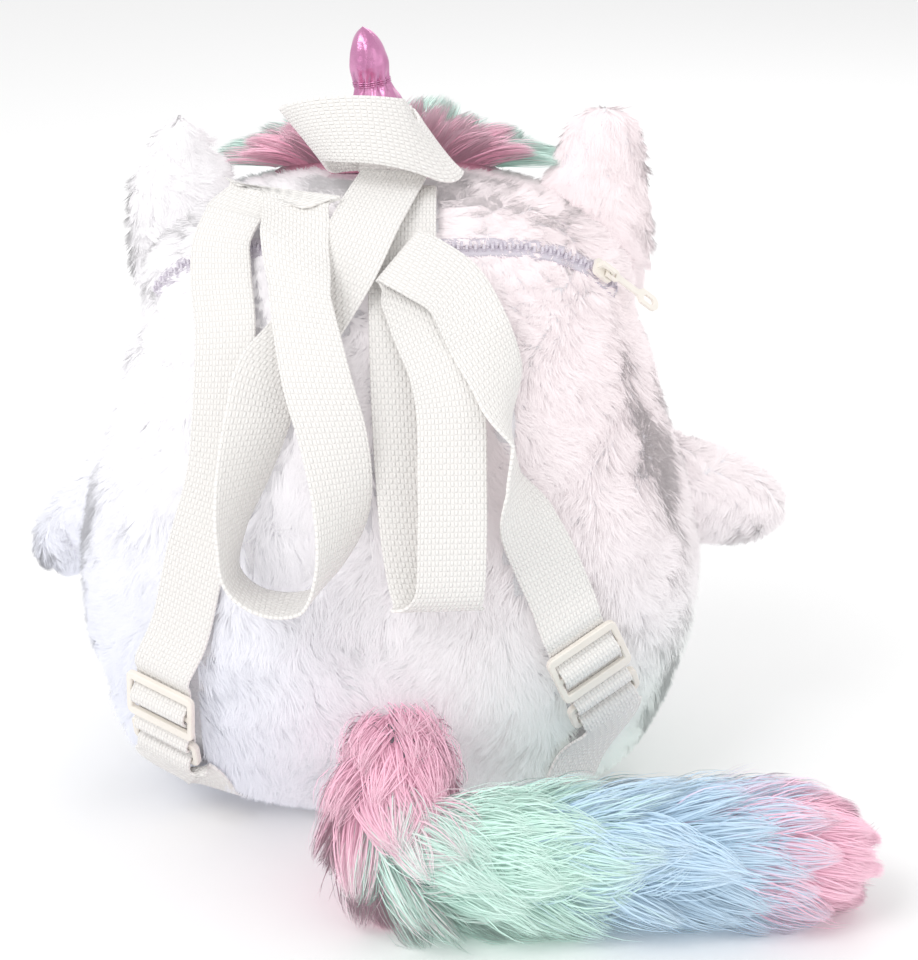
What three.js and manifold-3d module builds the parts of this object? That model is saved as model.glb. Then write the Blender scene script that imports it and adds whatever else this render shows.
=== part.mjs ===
// A child's plush backpack in the shape of a seated white unicorn. Millimetres, +Z up, the floor is Z = 0.
// -Y is the back panel that lies against the wearer, +Y is the animal's front, +X is the wearer's right.
// The body is a padded shell, hollow behind its stuffing. A zip across the upper back closes it.

import * as THREE from 'three';
import { mergeVertices } from 'three/addons/utils/BufferGeometryUtils.js';
import Module from 'manifold-3d';

const wasm = await Module();
wasm.setup();

// Driving dimensions of the body
const bodyWidth = 244;
const bodyHeight = 252;
const backDepth = 90;
const frontDepth = 92;
const ringSquareness = 2.25;
const backWall = 5;
const sideWall = 12;
const frontPadding = 45;
const topWall = 6;
const floorPadding = 16;

// Driving dimensions of the trim
const seamGap = 0.3;
const webbingWidth = 25;
const webbingThickness = 1.3;
const zipTapeWidth = 10;
const zipTapeThickness = 1.4;
const zipSlotWidth = 12;
const zipToothWidth = 4;
const zipToothHeight = 1;
const earRoot = 205;
const earHeight = 72;
const earWidth = 42;
const earThickness = 18;
const earCup = 4;
const armLength = 44;
const armRadius = 20;
const hornLength = 62;
const hornRadius = 12;
const hornPleats = 8;
const tailReach = 150;
const tailRadius = 28;
const tailLockLength = 36;
const maneLength = 104;
const maneLockLength = 27;
const handleSpan = 66;
const handleDepth = 33;
const handleRise = 11;

// Driving dimensions of the plastic adjusters and rings
const barThickness = 2.4;
const longBarWidth = 3.6;
const sideBarWidth = 2.5;
const sliderLength = 22;
const middleBarWidth = 2.4;
const webbingClearance = 0.5;
const ringBarRadius = 1.4;
const ringPitch = 10;
const sliderLift = 7;

// Driving dimensions of the zip's slider and pull
const zipSliderLength = 9;
const zipSliderWidth = 7;
const zipPlateThickness = 1.4;
const bridgeHeight = 3.4;
const bridgeWidth = 1.8;
const pullPinRadius = 0.6;
const pullThickness = 1.2;
const pullStemWidth = 2.6;
const pullStemLength = 12;
const pullEndWidth = 6.4;
const pullEndLength = 10;

const colours = {
  plush: new THREE.Color(0xf4f1f4),
  webbing: new THREE.Color(0xf6f2ea),
  plastic: new THREE.Color(0xf5efe2),
  horn: new THREE.Color(0xc873ae),
  mane: new THREE.Color(0xf7b4d3),
  tail: new THREE.Color(0xa9e6d2),
};

// A table is rows of numbers under named columns.
function table(columns, rows) {
  const names = columns.split(' ');
  return rows.map((row) => Object.fromEntries(names.map((name, i) => [name, row[i]])));
}

// Body rings from the base to the crown: height and reach as shares of the body's own sizes
const bodyRings = table('height side back front', [
  [0.0, 0.4, 0.42, 0.42],
  [0.03, 0.63, 0.6, 0.6],
  [0.07, 0.8, 0.75, 0.74],
  [0.14, 0.89, 0.85, 0.85],
  [0.2, 0.94, 0.92, 0.92],
  [0.29, 0.99, 0.98, 0.98],
  [0.38, 1.0, 1.0, 1.0],
  [0.5, 0.965, 1.0, 0.99],
  [0.59, 0.91, 0.97, 0.96],
  [0.65, 0.875, 0.94, 0.93],
  [0.71, 0.845, 0.9, 0.9],
  [0.79, 0.81, 0.82, 0.83],
  [0.87, 0.765, 0.7, 0.71],
  [0.93, 0.66, 0.56, 0.57],
  [0.97, 0.5, 0.4, 0.41],
  [1.0, 0.0, 0.0, 0.0],
]);

// Dents and bulges of the stuffing: bearing in degrees from +X, spreads, and depth as a share of the back depth
const bodyDents = table('bearing height bearingSpread heightSpread depth', [
  [-96, 0.34, 6, 0.1, 0.035],
  [-90, 0.865, 40, 0.03, 0.02],
  [0, 0.78, 24, 0.045, 0.035],
  [180, 0.78, 24, 0.045, 0.035],
  [-158, 0.12, 18, 0.05, -0.05],
  [-30, 0.2, 16, 0.08, 0.02],
  [90, 0.3, 60, 0.2, -0.04],
]);

const down = new THREE.Vector3(0, 0, -1);
const degrees = THREE.MathUtils.degToRad;

// The share of a half turn from the base to a height: even near the two poles, where the outline is round
function climb(height) {
  return Math.acos(1 - 2 * THREE.MathUtils.clamp(height, 0, 1)) / Math.PI;
}

// A smooth curve through a table's column that never overshoots its rows
function follow(rows, key, column, at) {
  const count = rows.length;
  const keys = rows.map(key);
  const slope = (i) => (rows[i + 1][column] - rows[i][column]) / (keys[i + 1] - keys[i]);
  const tangent = (i) => {
    if (i === 0) return slope(0);
    if (i === count - 1) return slope(count - 2);
    const before = slope(i - 1);
    const after = slope(i);
    return before * after <= 0 ? 0 : (2 * before * after) / (before + after);
  };
  let span = 0;
  while (span < count - 2 && at > keys[span + 1]) span += 1;
  const width = keys[span + 1] - keys[span];
  const t = THREE.MathUtils.clamp((at - keys[span]) / width, 0, 1);
  const rise = t * t * (3 - 2 * t);
  const leave = t * (1 - t) * (1 - t);
  const arrive = t * t * (t - 1);
  return (
    rows[span][column] * (1 - rise) +
    rows[span + 1][column] * rise +
    width * (tangent(span) * leave + tangent(span + 1) * arrive)
  );
}

function angleApart(a, b) {
  return Math.abs(((((a - b) % 360) + 540) % 360) - 180);
}

function dentAt(bearing, height) {
  let depth = 0;
  for (const dent of bodyDents) {
    const across = angleApart(bearing, dent.bearing) / dent.bearingSpread;
    const along = (height - dent.height) / dent.heightSpread;
    depth += dent.depth * Math.exp(-across * across - along * along);
  }
  return depth * backDepth;
}

// A point of an egg-shaped skin: bearing in radians round the body, height as a share of its own height
function eggPoint(bearing, height, size) {
  const at = climb(height);
  const reach = (column) => follow(bodyRings, (ring) => climb(ring.height), column, at);
  const round = (value) => Math.sign(value) * Math.abs(value) ** (2 / ringSquareness);
  const x = size.side * reach('side') * round(Math.cos(bearing));
  const isBack = Math.sin(bearing) < 0;
  const depth = isBack ? size.back * reach('back') : size.front * reach('front');
  const y = depth * round(Math.sin(bearing));
  const radius = Math.hypot(x, y) || 1;
  const pushed = 1 - dentAt(THREE.MathUtils.radToDeg(bearing), height) / Math.max(radius, backDepth / 2);
  return new THREE.Vector3(x * pushed, y * pushed, size.base + height * size.height);
}

const skin = { side: bodyWidth / 2, back: backDepth, front: frontDepth, base: 0, height: bodyHeight };
const hollow = {
  side: bodyWidth / 2 - sideWall,
  back: backDepth - backWall,
  front: frontDepth - frontPadding,
  base: floorPadding,
  height: bodyHeight - floorPadding - topWall,
};

function skinNormal(bearing, height) {
  const step = 1e-3;
  const around = eggPoint(bearing + step, height, skin).sub(eggPoint(bearing - step, height, skin));
  const up = eggPoint(bearing, Math.min(height + step, 1 - step), skin);
  up.sub(eggPoint(bearing, height - step, skin));
  return around.cross(up).normalize();
}

// The bearing on the back where the skin has a given X, found by halving
function backBearing(x, height) {
  let low = -Math.PI;
  let high = 0;
  for (let i = 0; i < 40; i += 1) {
    const middle = (low + high) / 2;
    if (eggPoint(middle, height, skin).x < x) low = middle;
    else high = middle;
  }
  return (low + high) / 2;
}

// A place on the back: across as a share of half the body's width, height as a share, lift off the skin in mm
function onBack(across, height, lift) {
  const bearing = backBearing((across * bodyWidth) / 2, height);
  const normal = skinNormal(bearing, height);
  const point = eggPoint(bearing, height, skin).addScaledVector(normal, lift);
  return { point, normal };
}

// A closed solid through rings of points. A ring of one point is a tip, any other end ring is capped flat.
// The second half of a ring is split along the other diagonal, so a twisted ribbon's two faces stay parallel.
function loft(rings) {
  const corners = [];
  const triangles = [];
  const starts = rings.map((ring) => {
    const start = corners.length / 3;
    ring.forEach((corner) => corners.push(corner.x, corner.y, corner.z));
    return start;
  });
  for (let r = 0; r + 1 < rings.length; r += 1) {
    const near = rings[r].length;
    const far = rings[r + 1].length;
    const count = Math.max(near, far);
    for (let i = 0; i < count; i += 1) {
      const next = (i + 1) % count;
      const a = starts[r] + (i % near);
      const b = starts[r] + (next % near);
      const c = starts[r + 1] + (i % far);
      const d = starts[r + 1] + (next % far);
      if (near === far && 2 * i >= count) {
        triangles.push(a, b, c, b, d, c);
        continue;
      }
      if (near > 1) triangles.push(a, b, d);
      if (far > 1) triangles.push(a, d, c);
    }
  }
  cap(rings[0], starts[0], triangles, true);
  cap(rings[rings.length - 1], starts[rings.length - 1], triangles, false);
  return faceOut(corners, triangles);
}

function cap(ring, start, triangles, isFirst) {
  for (let i = 1; i + 1 < ring.length; i += 1) {
    if (isFirst) triangles.push(start, start + i + 1, start + i);
    else triangles.push(start, start + i, start + i + 1);
  }
}

// Turns every face over if the solid's signed volume is negative
function faceOut(corners, triangles) {
  const at = (i) => new THREE.Vector3(corners[3 * i], corners[3 * i + 1], corners[3 * i + 2]);
  let volume = 0;
  for (let i = 0; i < triangles.length; i += 3) {
    volume += at(triangles[i]).dot(at(triangles[i + 1]).cross(at(triangles[i + 2])));
  }
  if (volume < 0) triangles.reverse();
  const geometry = new THREE.BufferGeometry();
  geometry.setAttribute('position', new THREE.Float32BufferAttribute(corners, 3));
  geometry.setIndex(triangles);
  return geometry;
}

function toSolid(geometry) {
  const bare = geometry.clone();
  bare.deleteAttribute('normal');
  bare.deleteAttribute('uv');
  const merged = mergeVertices(bare, 1e-4);
  const vertProperties = new Float32Array(merged.attributes.position.array);
  const triVerts = new Uint32Array(merged.index.array);
  return new wasm.Manifold(new wasm.Mesh({ numProp: 3, vertProperties, triVerts }));
}

function toGeometry(solid) {
  const { vertProperties, triVerts } = solid.getMesh();
  const geometry = new THREE.BufferGeometry();
  geometry.setAttribute('position', new THREE.Float32BufferAttribute(vertProperties, 3));
  geometry.setIndex(Array.from(triVerts));
  return geometry;
}

function join(solids) {
  return solids.reduce((whole, solid) => whole.add(solid));
}

// The largest of a solid's separate pieces
function largest(solid) {
  return solid.decompose().reduce((best, piece) => (piece.volume() > best.volume() ? piece : best));
}

const group = new THREE.Group();

function addPiece(name, geometry, colour, roughness, metalness = 0) {
  const material = new THREE.MeshStandardMaterial({ color: colour, roughness, metalness });
  const mesh = new THREE.Mesh(geometry, material);
  mesh.name = name;
  group.add(mesh);
}

// Body shell

const skinRows = 18;
const skinColumns = 34;
const hollowRows = 10;
const hollowColumns = 20;

function eggRings(size, rows, columns, grow) {
  const rings = [];
  for (let r = 0; r < rows; r += 1) {
    const height = (1 - Math.cos((Math.PI * r) / rows)) / 2;
    const ring = [];
    for (let c = 0; c < columns; c += 1) {
      const bearing = (2 * Math.PI * c) / columns - Math.PI;
      const corner = eggPoint(bearing, height, size);
      if (grow > 0) {
        const outward = new THREE.Vector3(corner.x, corner.y, 0).normalize();
        if (r > 0) outward.copy(skinNormal(bearing, height));
        corner.addScaledVector(outward, grow);
        if (r === 0) corner.z -= grow;
      }
      ring.push(corner);
    }
    rings.push(ring);
  }
  rings.push([new THREE.Vector3(0, 0, size.base + size.height + grow)]);
  return rings;
}

const skinSolid = toSolid(loft(eggRings(skin, skinRows, skinColumns, 0)));
const seatSolid = toSolid(loft(eggRings(skin, skinRows, skinColumns, seamGap)));
const hollowSolid = toSolid(loft(eggRings(hollow, hollowRows, hollowColumns, 0)));

// The least sine of the angle between a ribbon's run and the line across it
const leastSlant = 0.6;

// A flat ribbon through stations of a point and the line across it, which may be slanted as at a fold
function ribbonRings(stations, width, thickness, offset = 0) {
  return stations.map((station, i) => {
    const before = stations[Math.max(i - 1, 0)].point;
    const after = stations[Math.min(i + 1, stations.length - 1)].point;
    const along = after.clone().sub(before).normalize();
    const across = station.across.clone().normalize();
    const face = across.clone().cross(along);
    const half = width / 2 / Math.max(face.length(), leastSlant);
    face.normalize();
    const corner = (u, v) =>
      station.point
        .clone()
        .addScaledVector(across, u * half)
        .addScaledVector(face, offset + (v * thickness) / 2);
    return [corner(-1, -1), corner(1, -1), corner(1, 1), corner(-1, 1)];
  });
}

// Evenly eased stations between control rows
function drape(controls, steps) {
  const curve = new THREE.CatmullRomCurve3(
    controls.map((control) => control.point),
    false,
    'centripetal',
  );
  const spans = controls.length - 1;
  const stations = [];
  for (let i = 0; i <= spans * steps; i += 1) {
    const at = i / steps;
    const span = Math.min(Math.floor(at), spans - 1);
    const across = controls[span].across.clone().lerp(controls[span + 1].across, at - span);
    const fixed = controls[span].fixed ?? false;
    stations.push({ point: curve.getPoint(i / (spans * steps)), across, fixed });
  }
  return stations;
}

// Zip across the upper back

const zipReach = 0.735;
const zipCrown = 0.926;
const zipDrop = 0.092;
const zipBend = 5;
const zipSteps = 14;
const zipSetBack = 1.6;
const zipSlotDepth = 22;
const zipSlotProud = 4;

function zipStation(at, lift) {
  return onBack(zipReach * at, zipCrown - zipDrop * Math.abs(at) ** zipBend, lift);
}

function zipHeading(at, lift) {
  const step = 0.01;
  return zipStation(at + step, lift).point.sub(zipStation(at - step, lift).point).normalize();
}

function zipStations(from, to, lift) {
  const stations = [];
  for (let i = 0; i <= zipSteps; i += 1) {
    const at = from + ((to - from) * i) / zipSteps;
    const { point, normal } = zipStation(at, lift);
    stations.push({ point, across: zipHeading(at, lift).cross(normal).normalize() });
  }
  return stations;
}

const zipEnd = 0.985;
const slotMiddle = (zipSlotProud - zipSlotDepth) / 2;
const zipSlot = toSolid(
  loft(ribbonRings(zipStations(-1, 1, 0), zipSlotWidth, zipSlotProud + zipSlotDepth, slotMiddle)),
);
addPiece('plush_body', toGeometry(skinSolid.subtract(hollowSolid).subtract(zipSlot)), colours.plush, 0.95);

const tapeStations = zipStations(-zipEnd, zipEnd, -zipSetBack);
const zipTape = toSolid(loft(ribbonRings(tapeStations, zipTapeWidth, zipTapeThickness)));
const zipTeeth = toSolid(
  loft(ribbonRings(tapeStations, zipToothWidth, zipTapeThickness + zipToothHeight, zipToothHeight / 2)),
);
addPiece('zip_tape', toGeometry(zipTape.add(zipTeeth)), colours.webbing, 0.8);

// The height of the crown over a place, found by halving between the widest ring and the top
function onCrown(x, y) {
  let low = 0.5;
  let high = 1;
  for (let i = 0; i < 30; i += 1) {
    const height = (low + high) / 2;
    const reach = (column) => follow(bodyRings, (ring) => climb(ring.height), column, climb(height));
    const depth = y < 0 ? backDepth * reach('back') : frontDepth * reach('front');
    const along = Math.abs(x / ((bodyWidth / 2) * reach('side'))) ** ringSquareness;
    const outside = along + Math.abs(y / depth) ** ringSquareness > 1;
    if (outside) high = height;
    else low = height;
  }
  return new THREE.Vector3(x, y, low * bodyHeight);
}

// Ears: flat pads, cupped towards the animal's front, that the photo shows with unlike tips

const earSides = 12;
const earPlace = 0.655;
const earForward = 4;

// Rise and the rest as shares of the ear's height, width and thickness
const earSections = {
  left: table('rise middle width thickness', [
    [0.0, 0.02, 0.9, 0.85],
    [0.28, 0.0, 1.0, 1.0],
    [0.55, 0.01, 0.98, 0.9],
    [0.64, 0.03, 0.88, 0.8],
    [0.72, 0.02, 0.7, 0.7],
    [0.8, 0.01, 0.56, 0.6],
    [0.88, 0.02, 0.4, 0.5],
    [0.93, 0.02, 0.24, 0.3],
    [0.955, 0.02, 0.0, 0.0],
  ]),
  right: table('rise middle width thickness', [
    [0.0, 0.0, 0.9, 0.85],
    [0.28, 0.04, 1.03, 1.0],
    [0.62, 0.02, 0.97, 0.9],
    [0.72, 0.04, 0.87, 0.8],
    [0.8, 0.05, 0.81, 0.7],
    [0.88, 0.06, 0.74, 0.6],
    [0.95, 0.08, 0.56, 0.45],
    [0.985, 0.08, 0.33, 0.25],
    [1.0, 0.08, 0.0, 0.0],
  ]),
};

function earRings(side, sections) {
  const root = new THREE.Vector3((side * earPlace * bodyWidth) / 2, earForward, earRoot);
  return sections.map((section) => {
    const middle = root.clone();
    middle.x += section.middle * earWidth;
    middle.z += section.rise * earHeight;
    if (section.width === 0) return [middle.clone().add(new THREE.Vector3(0, -earCup, 0))];
    const ring = [];
    for (let i = 0; i < earSides; i += 1) {
      const angle = (2 * Math.PI * i) / earSides;
      const across = Math.cos(angle);
      const x = (across * section.width * earWidth) / 2;
      const y = (Math.sin(angle) * section.thickness * earThickness) / 2 - earCup * (1 - across * across);
      ring.push(middle.clone().add(new THREE.Vector3(x, y, 0)));
    }
    return ring;
  });
}

const earSolids = {
  left: toSolid(loft(earRings(-1, earSections.left))).subtract(seatSolid),
  right: toSolid(loft(earRings(1, earSections.right))).subtract(seatSolid),
};
addPiece('ear_left', toGeometry(earSolids.left), colours.plush, 0.95);
addPiece('ear_right', toGeometry(earSolids.right), colours.plush, 0.95);

// Arms: short stuffed stubs, the left one hanging, the right one held out

const armSides = 12;
const armForward = 14;
const armRootShare = 0.78;

// Shares of the arm's length and radius
const armProfile = table('along radius', [
  [0.0, 1.1],
  [0.25, 1.06],
  [0.5, 1.0],
  [0.7, 0.92],
  [0.84, 0.78],
  [0.94, 0.52],
  [0.985, 0.27],
  [1.0, 0.0],
]);

function tubeRings(path, sides) {
  return path.map((section, i) => {
    const before = path[Math.max(i - 1, 0)].point;
    const after = path[Math.min(i + 1, path.length - 1)].point;
    const along = after.clone().sub(before).normalize();
    if (section.radius === 0) return [section.point];
    const side = new THREE.Vector3(0, 1, 0).addScaledVector(along, -along.y).normalize();
    if (Math.abs(along.y) > 0.9) side.set(1, 0, 0).addScaledVector(along, -along.x).normalize();
    const up = side.clone().cross(along);
    const ring = [];
    for (let k = 0; k < sides; k += 1) {
      const angle = (2 * Math.PI * k) / sides;
      const radius = section.radius * (1 + (section.ripple ?? 0) * Math.cos((sides / 2) * angle));
      const corner = section.point.clone().addScaledVector(side, Math.cos(angle) * radius);
      ring.push(corner.addScaledVector(up, Math.sin(angle) * radius));
    }
    return ring;
  });
}

function armSolid(side, rootHeight, droop, length, radius) {
  const root = new THREE.Vector3((side * armRootShare * bodyWidth) / 2, armForward, rootHeight * bodyHeight);
  const out = new THREE.Vector3(side * Math.cos(degrees(droop)), 0, -Math.sin(degrees(droop)));
  const path = armProfile.map((row) => ({
    point: root.clone().addScaledVector(out, row.along * length),
    radius: row.radius * radius,
  }));
  return toSolid(loft(tubeRings(path, armSides))).subtract(seatSolid);
}

const leftArmHeight = 0.5;
const leftArmDroop = 40;
const rightArmHeight = 0.49;
const rightArmDroop = 15;
const leftArm = armSolid(-1, leftArmHeight, leftArmDroop, armLength + armRadius, armRadius * 0.93);
const rightArm = armSolid(1, rightArmHeight, rightArmDroop, armLength + armRadius * 1.2, armRadius);
addPiece('arm_left', toGeometry(leftArm), colours.plush, 0.95);
addPiece('arm_right', toGeometry(rightArm), colours.plush, 0.95);

// Horn: a padded cone gathered by thread into bulges

const hornPlace = new THREE.Vector3(1, 30, 237);
const hornLean = new THREE.Vector3(-0.17, 0, 1).normalize();

// Rise as a share of the horn's length, radius as a share of its own, pleat depth as a share of the radius
const hornSections = table('rise radius pleat', [
  [0.0, 1.0, 0.0],
  [0.14, 0.98, 0.03],
  [0.24, 0.84, 0.07],
  [0.3, 0.8, 0.08],
  [0.36, 0.85, 0.05],
  [0.45, 0.88, 0.02],
  [0.54, 0.78, 0.05],
  [0.61, 0.6, 0.09],
  [0.65, 0.53, 0.1],
  [0.7, 0.56, 0.06],
  [0.77, 0.61, 0.02],
  [0.85, 0.54, 0.02],
  [0.92, 0.4, 0.03],
  [0.97, 0.22, 0.0],
  [1.0, 0.0, 0.0],
]);

function hornPath(grow) {
  return hornSections.map((section) => ({
    point: hornPlace.clone().addScaledVector(hornLean, section.rise * hornLength + (section.radius ? 0 : grow)),
    radius: section.radius ? section.radius * hornRadius + grow : 0,
    ripple: section.pleat,
  }));
}

const hornSides = 2 * hornPleats;
const hornSolid = toSolid(loft(tubeRings(hornPath(0), hornSides))).subtract(seatSolid);
const hornSeat = toSolid(loft(tubeRings(hornPath(seamGap), hornSides)));
addPiece('horn', toGeometry(hornSolid), colours.horn, 0.3, 0.6);

// A lock of fur: a flat leaf from its root to a point
const lockSides = 5;
const lockProfile = table('along width', [
  [0.0, 0.7],
  [0.4, 1.0],
  [1.0, 0.0],
]);

function lockSolid(root, direction, across, length, width, thickness) {
  const flat = across.clone().addScaledVector(direction, -across.dot(direction)).normalize();
  const face = flat.clone().cross(direction);
  const rings = lockProfile.map((row) => {
    const middle = root.clone().addScaledVector(direction, row.along * length);
    if (row.width === 0) return [middle];
    const ring = [];
    for (let i = 0; i < lockSides; i += 1) {
      const angle = (2 * Math.PI * i) / lockSides;
      const corner = middle.clone().addScaledVector(flat, (Math.cos(angle) * row.width * width) / 2);
      ring.push(corner.addScaledVector(face, (Math.sin(angle) * row.width * thickness) / 2));
    }
    return ring;
  });
  return toSolid(loft(rings));
}

// Mane: locks fanned out over the crown from a low backing, behind the horn

const maneBackingDepth = 26;
const maneBackingRise = 13;
const maneForward = 17;
const maneRootDrop = 2;
const maneLockWidth = 17;
const maneLockThickness = 8;
const maneRootShare = 0.84;
const maneLean = 0.35;
const maneFan = 1.5;
const maneLift = 1.1;
const maneDroop = 0.5;
const maneUneven = 0.12;

// Each row of locks: place across the backing's depth, tilt backwards, locks, and length as a share
const maneRows = table('depth tilt locks length', [
  [-0.55, -0.55, 7, 0.9],
  [0.0, 0.0, 8, 1.0],
  [0.55, 0.7, 7, 0.95],
]);

function maneBacking() {
  const mound = new THREE.SphereGeometry(1, 14, 8);
  mound.rotateX(Math.PI / 2);
  mound.scale(maneLength / 2, maneBackingDepth / 2, maneBackingRise);
  const middle = onCrown(0, maneForward);
  mound.translate(0, maneForward, middle.z - maneBackingRise / 2);
  return toSolid(mound);
}

function maneLocks() {
  const locks = [];
  for (const row of maneRows) {
    for (let i = 0; i < row.locks; i += 1) {
      const at = -1 + (2 * (i + 0.5)) / row.locks;
      const x = (at * maneRootShare * maneLength) / 2;
      const root = onCrown(x, maneForward + (row.depth * maneBackingDepth) / 2);
      root.z -= maneRootDrop;
      const fan = maneLean * at + maneFan * at * Math.abs(at);
      const direction = new THREE.Vector3(fan, row.tilt, maneLift - maneDroop * at * at).normalize();
      const across = new THREE.Vector3(direction.z, 0, -direction.x).normalize();
      const length = maneLockLength * row.length * (1 - maneUneven * (i % 2));
      locks.push(lockSolid(root, direction, across, length, maneLockWidth, maneLockThickness));
    }
  }
  return locks;
}

const earRoom = toSolid(loft(earRings(1, earSections.right))).add(toSolid(loft(earRings(-1, earSections.left))));
const maneSolid = join([maneBacking(), ...maneLocks()]).subtract(seatSolid).subtract(hornSeat);
addPiece('mane', toGeometry(largest(maneSolid.subtract(earRoom))), colours.mane, 0.9);

// Tail: a core from the lower back to the floor and away to the right, clothed in locks

const tailSides = 10;
const tailLockWidth = 17;
const tailLockThickness = 10;
const tailLockFlare = 25;
const tailLocksRound = 6;

// Route as shares of the tail's reach sideways, of the back depth behind the middle, and of the tail's radius up
const tailRoute = table('reach behind rise radius', [
  [0.03, 0.72, 1.75, 0.5],
  [0.03, 1.08, 1.62, 0.6],
  [0.02, 1.3, 1.3, 0.64],
  [0.07, 1.44, 1.08, 0.66],
  [0.22, 1.5, 1.02, 0.7],
  [0.42, 1.49, 1.01, 0.72],
  [0.62, 1.47, 1.01, 0.72],
  [0.8, 1.44, 1.0, 0.7],
  [0.95, 1.41, 0.95, 0.6],
  [1.02, 1.39, 0.9, 0.3],
]);

const tailCurve = new THREE.CatmullRomCurve3(
  tailRoute.map((row) => new THREE.Vector3(row.reach * tailReach, -row.behind * backDepth, row.rise * tailRadius)),
);
const tailCoreSteps = 16;
const tailLockRings = 9;
const tailFirstRing = 0.07;
const tailLastRing = 0.92;

function tailRadiusAt(at) {
  const rows = tailRoute.map((row, i) => ({ radius: row.radius, at: i / (tailRoute.length - 1) }));
  return follow(rows, (row) => row.at, 'radius', at) * tailRadius;
}

function tailCore() {
  const path = [];
  for (let i = 0; i <= tailCoreSteps; i += 1) {
    const at = i / tailCoreSteps;
    path.push({ point: tailCurve.getPoint(at), radius: tailRadiusAt(at) });
  }
  return toSolid(loft(tubeRings(path, tailSides)));
}

function tailLocks() {
  const locks = [];
  for (let ring = 0; ring < tailLockRings; ring += 1) {
    const at = tailFirstRing + ((tailLastRing - tailFirstRing) * ring) / (tailLockRings - 1);
    const along = tailCurve.getTangent(at);
    const side = new THREE.Vector3(0, 0, 1).cross(along).normalize();
    const up = along.clone().cross(side);
    for (let k = 0; k < tailLocksRound; k += 1) {
      const angle = (2 * Math.PI * (k + 0.5 * (ring % 2))) / tailLocksRound;
      const out = side.clone().multiplyScalar(Math.cos(angle)).addScaledVector(up, Math.sin(angle));
      const root = tailCurve.getPoint(at).addScaledVector(out, tailRadiusAt(at) * 0.72);
      const flare = degrees(tailLockFlare);
      const direction = along.clone().multiplyScalar(Math.cos(flare)).addScaledVector(out, Math.sin(flare));
      const across = out.clone().cross(along);
      const length = tailLockLength * (1 - 0.1 * (k % 2));
      locks.push(lockSolid(root, direction, across, length, tailLockWidth, tailLockThickness));
    }
  }
  return locks;
}

const floorSlabDepth = 40;
const floorSlab = new THREE.BoxGeometry(4 * bodyWidth, 4 * bodyWidth, floorSlabDepth);
floorSlab.translate(0, 0, -floorSlabDepth / 2);
const tailSolid = join([tailCore(), ...tailLocks()]).subtract(seatSolid).subtract(toSolid(floorSlab));
addPiece('tail', toGeometry(largest(tailSolid)), colours.tail, 0.9);

// Handle: a webbing loop that stands on the crown's seam, its two ends laid over each other at the back

const handleSetBack = 7;
const handleLayer = webbingThickness + seamGap + 1;

// Shares of the handle's span, depth and rise, then the direction across the webbing
const handleRoute = table('span depth rise ax ay az', [
  [0.15, 0.0, 0.0, 0, 0, 1],
  [-0.14, 0.0, 0.0, 0, 0, 1],
  [-0.34, 0.08, 0.0, -0.3, 0, 0.95],
  [-0.47, 0.42, 0.35, -0.62, 0, 0.78],
  [-0.37, 0.84, 0.75, -0.45, 0, 0.9],
  [-0.08, 1.04, 0.9, -0.1, 0, 1],
  [0.16, 0.95, 0.6, -0.25, 0, 0.97],
  [0.3, 0.6, 0.0, -0.72, 0, 0.7],
  [0.27, 0.2, 0.0, -0.5, 0, 0.85],
  [0.1, 0.09, 0.0, 0, 0, 1],
  [-0.16, 0.08, 0.0, 0, 0, 1],
]);

function handleControls() {
  const seat = onCrown(0, -handleSetBack).z + seamGap + webbingWidth / 2;
  return handleRoute.map((row) => ({
    point: new THREE.Vector3(
      row.span * handleSpan,
      -handleSetBack - row.depth * handleDepth,
      seat + row.rise * handleRise,
    ),
    across: new THREE.Vector3(row.ax, row.ay, row.az),
  }));
}

const handleRings = ribbonRings(drape(handleControls(), 4), webbingWidth, webbingThickness);
addPiece('handle_loop', loft(handleRings), colours.webbing, 0.8);

// Shoulder straps, from the crown's seam to the adjusters, draped over the back as loops

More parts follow.
